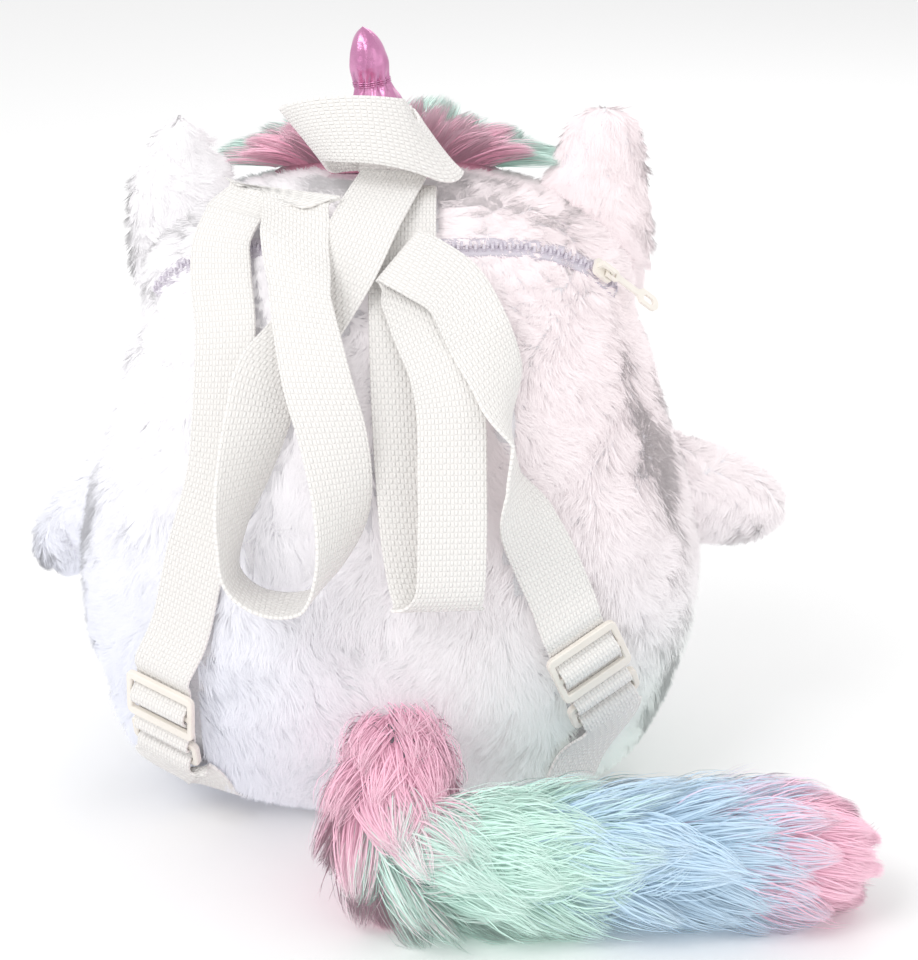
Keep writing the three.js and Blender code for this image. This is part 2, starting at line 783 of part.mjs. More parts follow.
// Places on the back as shares, lift in mm off the skin, then the direction across the webbing
const strapRoutes = {
  left: table('across height lift ax ay az', [
    [0.03, 0.99, 5.6, -0.9, 0, 0.45],
    [-0.045, 0.945, 7.6, -0.87, 0, 0.5],
    [-0.12, 0.888, 8.0, -0.87, 0, 0.5],
    [-0.236, 0.81, 3.6, -0.87, 0, 0.5],
    [-0.325, 0.751, 4.5, -0.86, -0.1, 0.5],
    [-0.35, 0.694, 8.5, -0.93, -0.37, 0.1],
    [-0.385, 0.61, 11.5, -0.7, -0.7, 0],
    [-0.415, 0.535, 14.2, -0.35, -0.94, 0],
    [-0.415, 0.478, 14.8, -0.1, -1, 0],
    [-0.337, 0.447, 14.8, 0, -1, 0],
    [-0.215, 0.455, 14.8, -0.15, -1, 0],
    [-0.13, 0.52, 14.8, -0.5, -0.85, 0],
    [-0.11, 0.588, 14, -0.8, -0.6, 0],
    [-0.135, 0.674, 12.5, -0.97, -0.2, 0],
    [-0.18, 0.751, 13, -1, 0.1, 0],
    [-0.232, 0.851, 13.5, -0.8, 0.55, 0],
    [-0.25, 0.91, 10.5, -0.8, 0.4, 0.3],
    [-0.256, 0.945, 8.4, -0.85, 0, 0.52],
    [-0.268, 0.962, 5.0, -0.85, 0, 0.52],
    [-0.29, 0.962, 3.0, -0.8, 0, 0.6],
    [-0.35, 0.96, 1.8, -0.6, 0, 0.8],
    [-0.43, 0.945, 1.6, -0.72, 0, 0.66],
    [-0.48, 0.92, 1.6, -0.87, 0, 0.45],
    [-0.488, 0.88, 1.6, -0.97, 0, 0.1],
    [-0.47, 0.809, 1.6, -1, 0, 0],
    [-0.481, 0.687, 1.6, -1, 0, 0.02],
    [-0.5, 0.601, 1.6, -0.97, 0, 0.15],
    [-0.569, 0.479, 1.8, -0.96, 0, 0.22],
    [-0.625, 0.36, 3.0, -0.93, 0, 0.24],
  ]),
  right: table('across height lift ax ay az', [
    [0.055, 0.985, 1.4, -1, 0, 0],
    [0.055, 0.942, 1.4, -1, 0, 0],
    [0.057, 0.87, 1.5, -1, 0, 0],
    [0.062, 0.793, 1.5, -1, 0, 0],
    [0.07, 0.699, 2.5, -1, 0, 0],
    [0.082, 0.602, 4, -1, 0, 0],
    [0.098, 0.518, 6, -1, 0, 0],
    [0.122, 0.463, 8.7, -1, 0, 0],
    [0.155, 0.438, 13, -1, 0, 0],
    [0.182, 0.46, 17, -1, 0, 0],
    [0.191, 0.54, 17.5, -1, 0, 0],
    [0.191, 0.635, 16, -1, 0, 0],
    [0.19, 0.712, 12.5, -1, 0, -0.05],
    [0.17, 0.766, 8.5, -0.9, 0, -0.42],
    [0.125, 0.818, 5.2, -0.82, 0, -0.57],
    [0.088, 0.862, 4.7, -0.7, 0, -0.72],
    [0.062, 0.898, 4.7, -0.53, 0, -0.85],
    [0.044, 0.906, 6.1, -0.53, 0, -0.85],
    [0.062, 0.902, 7.5, -0.53, 0, -0.85],
    [0.12, 0.89, 8.4, -0.4, 0, -0.92],
    [0.2, 0.862, 8.6, -0.55, 0, -0.83],
    [0.275, 0.803, 8.8, -0.83, 0, -0.55],
    [0.33, 0.74, 10.5, -0.55, -0.75, -0.35],
    [0.35, 0.675, 13.5, 0.05, -1, 0],
    [0.36, 0.61, 13.2, -0.2, -0.98, 0],
    [0.41, 0.55, 7.5, -0.75, -0.6, -0.3],
    [0.48, 0.484, 2.6, -0.9, 0, -0.33],
    [0.53, 0.421, 3.4, -0.86, 0, -0.4],
  ]),
};

// A row that leaves ay at nothing is turned flat to the skin
function routeControls(rows) {
  return rows.map((row) => {
    const { point, normal } = onBack(row.across, row.height, row.lift);
    const across = new THREE.Vector3(row.ax, row.ay, row.az);
    if (row.ay === 0) across.addScaledVector(normal, -across.dot(normal));
    return { point, across };
  });
}

// How far a point is off the skin of the back
function clearance(point) {
  const height = THREE.MathUtils.clamp(point.z / bodyHeight, 2e-3, 1 - 2e-3);
  const bearing = backBearing(point.x, height);
  return point.clone().sub(eggPoint(bearing, height, skin)).dot(skinNormal(bearing, height));
}

const skinRoom = webbingThickness / 2 + 0.9;

// Lifts each station until the webbing's middle and edges clear the skin
function rest(stations) {
  for (const { point, across, fixed } of stations) {
    if (fixed) continue;
    const edge = across.clone().multiplyScalar(webbingWidth / 2 / across.length());
    const places = [point, point.clone().add(edge), point.clone().sub(edge)];
    const short = skinRoom - Math.min(...places.map(clearance));
    const { normal } = onBack((2 * point.x) / bodyWidth, point.z / bodyHeight, 0);
    if (short > 0) point.addScaledVector(normal, short);
  }
  return stations;
}

// Adjuster places on the back, and the turn of each in its own plane, outwards from straight down
const adjusters = {
  left: { across: -0.677, height: 0.241, turn: -14 },
  right: { across: 0.601, height: 0.324, turn: 27 },
};

const anchorRoutes = {
  left: table('across height lift', [
    [-0.6, 0.095, 2.4],
    [-0.56, 0.06, 1.6],
    [-0.53, 0.04, 1.4],
  ]),
  right: table('across height lift', [
    [0.61, 0.14, 2.4],
    [0.58, 0.09, 1.4],
    [0.55, 0.05, 1.2],
  ]),
};

const threadGap = 0.45;
const turnGap = 0.8;
const passHeight = barThickness / 2 + threadGap + webbingThickness / 2;
const turnRadius = ringBarRadius + turnGap + webbingThickness / 2;
const ringSetOut = 16.6;
const ringDrop = -2.4;
const ringLift = 4.4;
const returnDepth = -4.4;

function adjusterFrame({ across, height, turn }) {
  const { point, normal } = onBack(across, height, sliderLift);
  const fall = down.clone().addScaledVector(normal, -down.dot(normal)).normalize();
  fall.applyAxisAngle(normal, degrees(turn));
  return { origin: point, fall, normal, side: fall.clone().cross(normal) };
}

function inFrame(frame, along, out) {
  return frame.origin.clone().addScaledVector(frame.fall, along).addScaledVector(frame.normal, out);
}

function placed(frame) {
  const turned = new THREE.Matrix4().makeBasis(frame.side, frame.fall, frame.normal);
  return { position: frame.origin, rotation: new THREE.Quaternion().setFromRotationMatrix(turned) };
}

function addPlaced(name, geometry, frame, colour, roughness) {
  addPiece(name, geometry, colour, roughness);
  const mesh = group.children[group.children.length - 1];
  const { position, rotation } = placed(frame);
  mesh.position.copy(position);
  mesh.quaternion.copy(rotation);
}

const threadLead = 6;
const threadRise = 1.2;
const threadEase = 0.5;

// The webbing's way through the adjuster, round the ring's upper bar and back behind the middle bar
function threadControls(frame) {
  const half = sliderLength / 2;
  const inner = half - longBarWidth;
  const over = (middleBarWidth + threadEase) / 2;
  const slope = (inner + over) / 2;
  const way = [
    [-half - threadLead, threadRise - passHeight],
    [-half - threadEase, -passHeight],
    [-inner + threadEase, -passHeight],
    [-slope, 0],
    [-over, passHeight],
    [over, passHeight],
    [slope, 0],
    [inner - threadEase, -passHeight],
    [half, -passHeight],
  ];
  for (const angle of [-40, 0, 45, 90, 135, 180]) {
    const turn = degrees(angle);
    way.push([ringSetOut + turnRadius * Math.sin(turn), ringDrop + turnRadius * Math.cos(turn)]);
  }
  way.push([half, returnDepth], [inner / 2, returnDepth], [0, returnDepth]);
  return way.map(([along, out]) => ({ point: inFrame(frame, along, out), across: frame.side, fixed: true }));
}

// The ring swings in from its upper bar until the webbing on its lower bar meets the skin, found by halving
function ringFrame(frame) {
  const upperBar = inFrame(frame, ringSetOut, ringDrop);
  const swing = (tilt) =>
    frame.fall.clone().multiplyScalar(Math.cos(tilt)).addScaledVector(frame.normal, -Math.sin(tilt));
  let low = 0;
  let high = Math.PI / 2;
  for (let i = 0; i < 30; i += 1) {
    const tilt = (low + high) / 2;
    if (clearance(upperBar.clone().addScaledVector(swing(tilt), ringPitch)) > ringLift) low = tilt;
    else high = tilt;
  }
  const fall = swing(low);
  const origin = upperBar.addScaledVector(fall, ringPitch / 2);
  return { origin, fall, normal: frame.side.clone().cross(fall), side: frame.side };
}

const anchorHemLength = 6;

// The lower webbing: hooked round the ring's lower bar, then down to the bottom seam
function anchorControls(frame, rows) {
  const bar = { ...frame, origin: inFrame(frame, ringPitch / 2, 0) };
  const way = [
    [anchorHemLength, -turnRadius],
    [anchorHemLength / 3, -turnRadius],
  ];
  for (const angle of [180, 225, 270, 315, 360]) {
    const turn = degrees(angle);
    way.push([turnRadius * Math.sin(turn), turnRadius * Math.cos(turn)]);
  }
  way.push([anchorHemLength, turnRadius - threadEase]);
  const controls = way.map(([along, out]) => ({
    point: inFrame(bar, along, out),
    across: frame.side,
    fixed: true,
  }));
  for (const { across, height, lift } of rows) {
    const { point, normal } = onBack(across, height, lift);
    const along = point.clone().sub(controls[controls.length - 1].point);
    controls.push({ point, across: along.cross(normal).normalize() });
  }
  return controls;
}

function roundedRectangle(shape, halfWidth, low, high, radius) {
  shape.moveTo(-halfWidth + radius, low);
  shape.lineTo(halfWidth - radius, low);
  shape.absarc(halfWidth - radius, low + radius, radius, -Math.PI / 2, 0, false);
  shape.lineTo(halfWidth, high - radius);
  shape.absarc(halfWidth - radius, high - radius, radius, 0, Math.PI / 2, false);
  shape.lineTo(-halfWidth + radius, high);
  shape.absarc(-halfWidth + radius, high - radius, radius, Math.PI / 2, Math.PI, false);
  shape.lineTo(-halfWidth, low + radius);
  shape.absarc(-halfWidth + radius, low + radius, radius, Math.PI, 1.5 * Math.PI, false);
  return shape;
}

function framePlate(halfWidth, halfLength, windows, thickness, bevel) {
  const shape = roundedRectangle(new THREE.Shape(), halfWidth - bevel, -halfLength + bevel, halfLength - bevel, 2.4);
  for (const [low, high] of windows) {
    const windowHalf = webbingWidth / 2 + webbingClearance + bevel;
    shape.holes.push(roundedRectangle(new THREE.Path(), windowHalf, low - bevel, high + bevel, 0.9));
  }
  const plate = new THREE.ExtrudeGeometry(shape, {
    depth: thickness - 2 * bevel,
    bevelEnabled: true,
    bevelThickness: bevel,
    bevelSize: bevel,
    bevelSegments: 1,
    curveSegments: 2,
  });
  plate.translate(0, 0, bevel - thickness / 2);
  return plate;
}

const plateHalfWidth = webbingWidth / 2 + webbingClearance + sideBarWidth;
const plateBevel = 0.4;
const sliderWindow = [middleBarWidth / 2, sliderLength / 2 - longBarWidth];
const strapSteps = 2;

for (const side of ['left', 'right']) {
  const frame = adjusterFrame(adjusters[side]);
  const ring = ringFrame(frame);
  const controls = [...routeControls(strapRoutes[side]), ...threadControls(frame)];
  const strap = loft(ribbonRings(rest(drape(controls, strapSteps)), webbingWidth, webbingThickness));
  addPiece(`strap_${side}`, strap, colours.webbing, 0.8);

  const anchor = anchorControls(ring, anchorRoutes[side]);
  const webbing = loft(ribbonRings(rest(drape(anchor, strapSteps)), webbingWidth, webbingThickness));
  addPiece(`anchor_${side}`, webbing, colours.webbing, 0.8);

  const windows = [
    [-sliderWindow[1], -sliderWindow[0]],
    sliderWindow,
  ];
  const slider = framePlate(plateHalfWidth, sliderLength / 2, windows, barThickness, plateBevel);
  addPlaced(`slider_${side}`, slider, frame, colours.plastic, 0.4);

  const ringHalf = ringPitch / 2 + ringBarRadius;
  const opening = [[-ringPitch / 2 + ringBarRadius, ringPitch / 2 - ringBarRadius]];
  const loop = framePlate(plateHalfWidth, ringHalf, opening, 2 * ringBarRadius, plateBevel);
  addPlaced(`ring_${side}`, loop, ring, colours.plastic, 0.4);
}

// Zip slider near the zip's right end, and the pull that swings on its bridge

const sliderAt = 0.9;
const toothTop = zipTapeThickness / 2 + zipToothHeight - zipSetBack;

function zipFrame() {
  const lift = toothTop + seamGap;
  const { point, normal } = zipStation(sliderAt, lift);
  const fall = zipHeading(sliderAt, lift);
  return { origin: point, fall, normal, side: fall.clone().cross(normal).normalize() };
}

const bridgeLength = 7;
const bridgeWall = 1.3;
const bridgeRoom = bridgeHeight - bridgeWall;
const pinRise = zipPlateThickness + bridgeRoom / 2;
const pinAlong = bridgeLength / 2 - bridgeWall - pullPinRadius - 0.4;

function zipSliderSolid() {
  const outline = roundedRectangle(
    new THREE.Shape(),
    zipSliderWidth / 2,
    -zipSliderLength / 2,
    zipSliderLength / 2,
    1.6,
  );
  const plate = new THREE.ExtrudeGeometry(outline, { depth: zipPlateThickness, bevelEnabled: false, curveSegments: 3 });
  const arch = new THREE.Shape();
  roundedRectangle(arch, bridgeLength / 2, -0.3, bridgeHeight, 0.25);
  const room = new THREE.Path();
  arch.holes.push(roundedRectangle(room, bridgeLength / 2 - bridgeWall, 0, bridgeRoom, 0.2));
  const bridge = new THREE.ExtrudeGeometry(arch, { depth: bridgeWidth, bevelEnabled: false, curveSegments: 3 });
  bridge.translate(0, zipPlateThickness, -bridgeWidth / 2);
  bridge.applyMatrix4(
    new THREE.Matrix4().makeBasis(
      new THREE.Vector3(0, 1, 0),
      new THREE.Vector3(0, 0, 1),
      new THREE.Vector3(1, 0, 0),
    ),
  );
  return toGeometry(toSolid(plate).add(toSolid(bridge)));
}

// The pull's plate lies along the zip from its pin: a window round the bridge's post, a stem and a slotted end
function zipPullGeometry() {
  const postReach = Math.hypot(bridgeLength / 2 - pinAlong, bridgeHeight - bridgeRoom / 2);
  const windowEnd = postReach + 0.5;
  const headHalf = bridgeWidth / 2 + 0.4 + 1.1;
  const headEnd = windowEnd + 1.2;
  const stemEnd = headEnd + pullStemLength;
  const plateEnd = stemEnd + pullEndLength;
  const shape = new THREE.Shape();
  shape.moveTo(-headHalf, -pullPinRadius);
  shape.lineTo(headHalf, -pullPinRadius);
  shape.lineTo(headHalf, headEnd - 0.6);
  shape.lineTo(pullStemWidth / 2, headEnd + 0.6);
  shape.lineTo(pullStemWidth / 2, stemEnd - 1);
  shape.lineTo(pullEndWidth / 2, stemEnd + 1);
  shape.lineTo(pullEndWidth / 2, plateEnd - pullEndWidth / 2);
  shape.absarc(0, plateEnd - pullEndWidth / 2, pullEndWidth / 2, 0, Math.PI, false);
  shape.lineTo(-pullEndWidth / 2, stemEnd + 1);
  shape.lineTo(-pullStemWidth / 2, stemEnd - 1);
  shape.lineTo(-pullStemWidth / 2, headEnd + 0.6);
  shape.lineTo(-headHalf, headEnd - 0.6);
  shape.closePath();
  const post = new THREE.Path();
  shape.holes.push(roundedRectangle(post, bridgeWidth / 2 + 0.4, pullPinRadius, windowEnd, 0.2));
  const slot = new THREE.Path();
  const slotHalf = pullEndWidth / 2 - 1.8;
  shape.holes.push(roundedRectangle(slot, slotHalf, stemEnd + 2, plateEnd - pullEndWidth / 2 + 0.5, slotHalf * 0.9));
  const plate = new THREE.ExtrudeGeometry(shape, { depth: pullThickness, bevelEnabled: false, curveSegments: 3 });
  plate.translate(0, 0, -pullThickness / 2);
  return plate;
}

const zipPlace = zipFrame();
addPlaced('zip_slider', zipSliderSolid(), zipPlace, colours.plastic, 0.4);
const pinPlace = { ...zipPlace, origin: inFrame(zipPlace, pinAlong, pinRise) };
addPlaced('zip_pull', zipPullGeometry(), pinPlace, colours.plastic, 0.4);

export default group;
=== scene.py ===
"""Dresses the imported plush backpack: pile, long fur, webbing, foil, plastic and the stage it stands on."""

import math

import bpy
import numpy as np
from bpy.props import FloatProperty, FloatVectorProperty, IntProperty, PointerProperty
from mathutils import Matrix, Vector


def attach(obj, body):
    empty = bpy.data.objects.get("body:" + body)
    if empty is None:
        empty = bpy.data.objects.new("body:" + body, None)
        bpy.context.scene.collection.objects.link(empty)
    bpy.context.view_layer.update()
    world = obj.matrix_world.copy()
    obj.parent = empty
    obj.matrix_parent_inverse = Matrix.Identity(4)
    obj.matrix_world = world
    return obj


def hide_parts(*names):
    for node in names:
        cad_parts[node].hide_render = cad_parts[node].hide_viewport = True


bl_info = {
    "name": "Plush unicorn backpack",
    "version": (1, 0, 0),
    "blender": (4, 5, 0),
    "location": "3D View > Sidebar > Backpack",
    "description": "Builds the looks of a child's plush backpack on its packed model",
    "category": "Object",
}

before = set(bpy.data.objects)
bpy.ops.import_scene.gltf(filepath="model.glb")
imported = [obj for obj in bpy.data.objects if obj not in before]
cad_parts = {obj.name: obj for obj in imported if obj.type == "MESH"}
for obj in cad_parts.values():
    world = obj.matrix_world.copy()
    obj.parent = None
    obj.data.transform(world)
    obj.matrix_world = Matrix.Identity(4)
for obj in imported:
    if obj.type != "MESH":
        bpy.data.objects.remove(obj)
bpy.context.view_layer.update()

MM = 0.001
BAG = "bag"
BODY_HALF = 122.0
BODY_HEIGHT = 252.0
BACK_DEPTH = 90.0
FRONT_DEPTH = 92.0
SQUARENESS = 2.25

# Body rings from the base to the crown: height, then reach to the side, the back and the front, as shares
BODY_RINGS = np.array([
    [0.0, 0.4, 0.42, 0.42],
    [0.03, 0.63, 0.6, 0.6],
    [0.07, 0.8, 0.75, 0.74],
    [0.14, 0.89, 0.85, 0.85],
    [0.2, 0.94, 0.92, 0.92],
    [0.29, 0.99, 0.98, 0.98],
    [0.38, 1.0, 1.0, 1.0],
    [0.5, 0.965, 1.0, 0.99],
    [0.59, 0.91, 0.97, 0.96],
    [0.65, 0.875, 0.94, 0.93],
    [0.71, 0.845, 0.9, 0.9],
    [0.79, 0.81, 0.82, 0.83],
    [0.87, 0.765, 0.7, 0.71],
    [0.93, 0.66, 0.56, 0.57],
    [0.97, 0.5, 0.4, 0.41],
    [1.0, 0.0, 0.0, 0.0],
])

# Dents and bulges of the stuffing: bearing in degrees, height, the spread of each, and depth as a share
BODY_DENTS = np.array([
    [-96, 0.34, 6, 0.1, 0.035],
    [-90, 0.865, 40, 0.03, 0.02],
    [0, 0.78, 24, 0.045, 0.035],
    [180, 0.78, 24, 0.045, 0.035],
    [-158, 0.12, 18, 0.05, -0.05],
    [-30, 0.2, 16, 0.08, 0.02],
    [90, 0.3, 60, 0.2, -0.04],
])


def unit(vectors):
    """Vectors scaled to length one."""
    return vectors / np.maximum(np.linalg.norm(vectors, axis=-1, keepdims=True), 1e-12)


def dot(a, b):
    """The scalar product along the last axis, which is kept."""
    return (a * b).sum(axis=-1, keepdims=True)


def follow(keys, values, at):
    """A cubic through rows. Each slope is the harmonic mean of the steps beside it, so it never overshoots."""
    step = np.diff(values) / np.diff(keys)
    both = step[:-1] * step[1:]
    total = np.where(np.abs(step[:-1] + step[1:]) < 1e-12, 1.0, step[:-1] + step[1:])
    slope = np.concatenate([step[:1], np.where(both > 0, 2 * both / total, 0.0), step[-1:]])
    span = np.clip(np.searchsorted(keys, at, side="right") - 1, 0, len(keys) - 2)
    width = (keys[1:] - keys[:-1])[span]
    t = np.clip((at - keys[span]) / width, 0, 1)
    rise = t * t * (3 - 2 * t)
    bend = slope[span] * t * (1 - t) ** 2 + slope[span + 1] * t * t * (t - 1)
    return values[span] * (1 - rise) + values[span + 1] * rise + width * bend


def climb(height):
    """The share of a half turn from the base to a height, even near both poles."""
    return np.arccos(1 - 2 * np.clip(height, 0, 1)) / math.pi


RING_KEYS = climb(BODY_RINGS[:, 0])


def egg(bearing, height):
    """The body's skin: at each height a ring of powers of cosine and sine, less the dents' bells."""
    bearing, height = np.broadcast_arrays(np.asarray(bearing, float), np.asarray(height, float))
    at = climb(height)
    side, back, front = (follow(RING_KEYS, BODY_RINGS[:, k], at) for k in (1, 2, 3))
    power = 2 / SQUARENESS
    cos, sin = np.cos(bearing), np.sin(bearing)
    x = BODY_HALF * side * np.sign(cos) * np.abs(cos) ** power
    depth = np.where(sin < 0, BACK_DEPTH * back, FRONT_DEPTH * front)
    y = depth * np.sign(sin) * np.abs(sin) ** power
    dent = np.zeros_like(x)
    for middle, level, around, along, deep in BODY_DENTS:
        apart = np.abs((np.degrees(bearing) - middle + 540) % 360 - 180) / around
        dent += deep * BACK_DEPTH * np.exp(-apart ** 2 - ((height - level) / along) ** 2)
    radius = np.hypot(x, y)
    pushed = 1 - dent / np.maximum(radius, BACK_DEPTH / 2)
    return np.stack([x * pushed, y * pushed, height * BODY_HEIGHT], axis=-1)


def egg_normal(bearing, height):
    """The skin's outward normal: the cross product of the small steps round and up."""
    step = 1e-3
    height = np.clip(height, 0.0, 1.0)
    around = egg(bearing + step, height) - egg(bearing - step, height)
    above, below = np.minimum(height + step, 1 - step), np.clip(height - step, 0, 1 - 3 * step)
    up = egg(bearing, above) - egg(bearing, below)
    return unit(np.cross(around, up))


def back_bearing(x, height):
    """The bearing on the back where the skin has a given x, found by halving."""
    low = np.full(np.shape(x), -math.pi)
    high = np.zeros(np.shape(x))
    for _ in range(40):
        middle = (low + high) / 2
        short = egg(middle, height)[..., 0] < x
        low = np.where(short, middle, low)
        high = np.where(short, high, middle)
    return (low + high) / 2


def on_back(across, height, lift):
    """A place on the back from its shares across and up, lifted off the skin, with the normal there."""
    across, height, lift = (np.asarray(v, float) for v in (across, height, lift))
    bearing = back_bearing(across * BODY_HALF, height)
    normal = egg_normal(bearing, height)
    return egg(bearing, height) + normal * lift[..., None], normal


def clearance(points):
    """How far points are off the skin of the back, measured along the normal at the same x and height."""
    height = np.clip(points[..., 2] / BODY_HEIGHT, 2e-3, 1 - 2e-3)
    bearing = back_bearing(points[..., 0], height)
    return ((points - egg(bearing, height)) * egg_normal(bearing, height)).sum(axis=-1)


def crown(x, y):
    """The skin's height over a place on the crown, found by halving."""
    x, y = np.broadcast_arrays(np.asarray(x, float), np.asarray(y, float))
    low = np.full(x.shape, 0.5)
    high = np.ones(x.shape)
    for _ in range(30):
        middle = (low + high) / 2
        at = climb(middle)
        side, back, front = (np.maximum(follow(RING_KEYS, BODY_RINGS[:, k], at), 1e-6) for k in (1, 2, 3))
        depth = np.where(y < 0, BACK_DEPTH * back, FRONT_DEPTH * front)
        outside = np.abs(x / (BODY_HALF * side)) ** SQUARENESS + np.abs(y / depth) ** SQUARENESS > 1
        high = np.where(outside, middle, high)
        low = np.where(outside, low, middle)
    return np.stack([x, y, low * BODY_HEIGHT], axis=-1)


def spline(controls, steps):
    """A centripetal Catmull-Rom curve: cubic spans whose end slopes weigh each chord by the root of its length."""
    ends = np.vstack([2 * controls[:1] - controls[1:2], controls, 2 * controls[-1:] - controls[-2:-1]])
    p0, p1, p2, p3 = ends[:-3], ends[1:-2], ends[2:-1], ends[3:]
    gap = [np.sqrt(np.linalg.norm(b - a, axis=1, keepdims=True)) for a, b in ((p0, p1), (p1, p2), (p2, p3))]
    mid = np.where(gap[1] < 1e-4, 1.0, gap[1])
    first = np.where(gap[0] < 1e-4, mid, gap[0])
    last = np.where(gap[2] < 1e-4, mid, gap[2])
    leave = mid * ((p1 - p0) / first - (p2 - p0) / (first + mid) + (p2 - p1) / mid)
    arrive = mid * ((p2 - p1) / mid - (p3 - p1) / (mid + last) + (p3 - p2) / last)
    t = (np.arange(steps) / steps)[None, :, None]
    a, b, m, n = p1[:, None], p2[:, None], leave[:, None], arrive[:, None]
    curve = a + m * t + (3 * (b - a) - 2 * m - n) * t ** 2 + (2 * (a - b) + m + n) * t ** 3
    return np.vstack([curve.reshape(-1, 3), controls[-1:]])


def swell(points, size, seed, waves=9):
    """Smooth noise about nought: the mean of sine waves that run in scattered directions."""
    dice = np.random.default_rng(seed)
    way = unit(dice.normal(size=(waves, 3))) * dice.uniform(0.6, 1.6, (waves, 1)) * 2 * math.pi / size
    phase = dice.uniform(0, 2 * math.pi, waves)
    return np.sin(points @ way.T + phase).mean(axis=-1) * math.sqrt(2 * waves) / 2


def closed_skin(rings, first, last):
    """Faces over a stack of rings, closed at both ends by fans round a single point."""
    rows, columns = rings.shape[:2]
    points = np.vstack([rings.reshape(-1, 3), first, last])
    r, c = np.meshgrid(np.arange(rows - 1), np.arange(columns), indexing="ij")
    here, aside = r * columns + c, r * columns + (c + 1) % columns
    quads = np.stack([here, aside, aside + columns, here + columns], axis=-1).reshape(-1, 4)
    edge = np.arange(columns)
    turn = (edge + 1) % columns
    base = np.full(columns, rows * columns)
    top = (rows - 1) * columns
    fans = np.vstack([np.stack([turn, edge, base], 1), np.stack([top + edge, top + turn, base + 1], 1)])
    return points, [quads, fans]


def outward(points, faces):
    """Turns every face over where the solid's signed volume comes out negative."""
    volume = 0.0
    for block in faces:
        for k in range(1, block.shape[1] - 1):
            a, b, c = points[block[:, 0]], points[block[:, k]], points[block[:, k + 1]]
            volume += (a * np.cross(b, c)).sum()
    return faces if volume > 0 else [block[:, ::-1] for block in faces]


def new_piece(name, points, faces, finish, replaces=(), slot=None, uv=None, tint=None, normals=None):
    """A mesh object from whole arrays in millimetres, which rides on the bag."""
    mesh = bpy.data.meshes.new(name)
    mesh.vertices.add(len(points))
    mesh.vertices.foreach_set("co", (np.asarray(points) * MM).astype(np.float32).ravel())
    corners = np.concatenate([block.ravel() for block in faces]).astype(np.int32)
    sizes = np.concatenate([np.full(len(block), block.shape[1]) for block in faces])
    mesh.loops.add(len(corners))
    mesh.loops.foreach_set("vertex_index", corners)
    mesh.polygons.add(len(sizes))
    mesh.polygons.foreach_set("loop_start", (np.cumsum(sizes) - sizes).astype(np.int32))
    mesh.polygons.foreach_set("use_smooth", np.ones(len(sizes), bool))
    mesh.update(calc_edges=True)
    if uv is not None:
        layer = mesh.uv_layers.new(name="cloth")
        layer.data.foreach_set("uv", uv[corners].astype(np.float32).ravel())
    if tint is not None:
        paint = mesh.color_attributes.new(name="tint", type="FLOAT_COLOR", domain="POINT")
        full = np.hstack([tint, np.ones((len(tint), 1))])
        paint.data.foreach_set("color", full.astype(np.float32).ravel())
    if normals is not None:
        mesh.normals_split_custom_set_from_vertices(normals.tolist())
        facing = mesh.attributes.new(name="facing", type="FLOAT_VECTOR", domain="POINT")
        facing.data.foreach_set("vector", normals.astype(np.float32).ravel())
    mesh.materials.append(finish)
    piece = bpy.data.objects.new(name, mesh)
    bpy.context.scene.collection.objects.link(piece)
    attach(piece, BAG)
    if replaces:
        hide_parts(*replaces)
    return piece


def scatter(sample, surface, count, dice):
    """Roots spread evenly over a surface: tries kept by the area that one step of both parameters covers."""
    tries = count * 4
    u, v = sample(tries)
    step = 1e-3
    du = surface(u + step, v) - surface(u - step, v)
    dv = surface(u, v + step) - surface(u, v - step)
    area = np.linalg.norm(np.cross(du, dv), axis=-1)
    chosen = dice.choice(tries, size=count, replace=False, p=area / area.sum())
    normal = unit(np.cross(du[chosen], dv[chosen]))
    return surface(u[chosen], v[chosen]), normal


def tuft(root, aim, length, size, pull, seed):
    """How far each tip is drawn to the middle of its tuft: hairs whose warped roots share a cube of a grid."""
    dice = np.random.default_rng(seed)
    turn, _ = np.linalg.qr(dice.normal(size=(3, 3)))
    warped = (root + np.stack([swell(root, 5 * size, seed + k) for k in range(3)], -1) * size) @ turn
    _, member = np.unique(np.floor(warped / size).astype(int), axis=0, return_inverse=True)
    member = member.ravel()
    share = np.bincount(member)[:, None]
    tips = root + aim * length[:, None]
    middle = np.stack([np.bincount(member, tips[:, k]) for k in range(3)], -1) / share
    return (middle[member] - tips) * pull, dice.random(len(share))[member]


def hairs(root, normal, aim, length, width, bend, rows, dice, soft=0.75):
    """Blades: each centre line is root plus aim times t plus bend times t squared, and its width tapers to nothing.

    A blade lies across its chord, faces away from the cloth, and is shaded mostly by the cloth's own normal.
    """
    count = len(root)
    t = np.linspace(0, 1, rows)[None, :, None]
    centre = root[:, None] + aim[:, None] * length[:, None, None] * t + bend[:, None] * t ** 2
    chord = unit(aim * length[:, None] + bend)
    flat = unit(np.cross(chord, normal + 0.3 * dice.normal(size=(count, 3))))
    flat *= np.where(dot(np.cross(flat, chord), normal) < 0, -1.0, 1.0)
    half = width[:, None, None] * 0.5 * (1 - t) ** 0.7
    left, right = centre - flat[:, None] * half, centre + flat[:, None] * half
    pairs = np.stack([left[:, :-1], right[:, :-1]], axis=2).reshape(count, -1, 3)
    points = np.concatenate([pairs, centre[:, -1:]], axis=1)
    each = 2 * rows - 1
    start = (np.arange(count) * each)[:, None]
    k = 2 * np.arange(rows - 2)[None, :]
    quads = np.stack([start + k, start + k + 1, start + k + 3, start + k + 2], -1).reshape(-1, 4)
    tips = np.hstack([start + each - 3, start + each - 2, start + each - 1])
    faces = [quads, tips] if rows > 2 else [tips]
    blended = unit(normal * soft + np.cross(flat, chord) * (1 - soft))
    along = np.repeat(t[..., 0], 2, axis=1)[:, : each]
    return points.reshape(-1, 3), faces, np.repeat(blended, each, axis=0), np.repeat(along, count, axis=0)


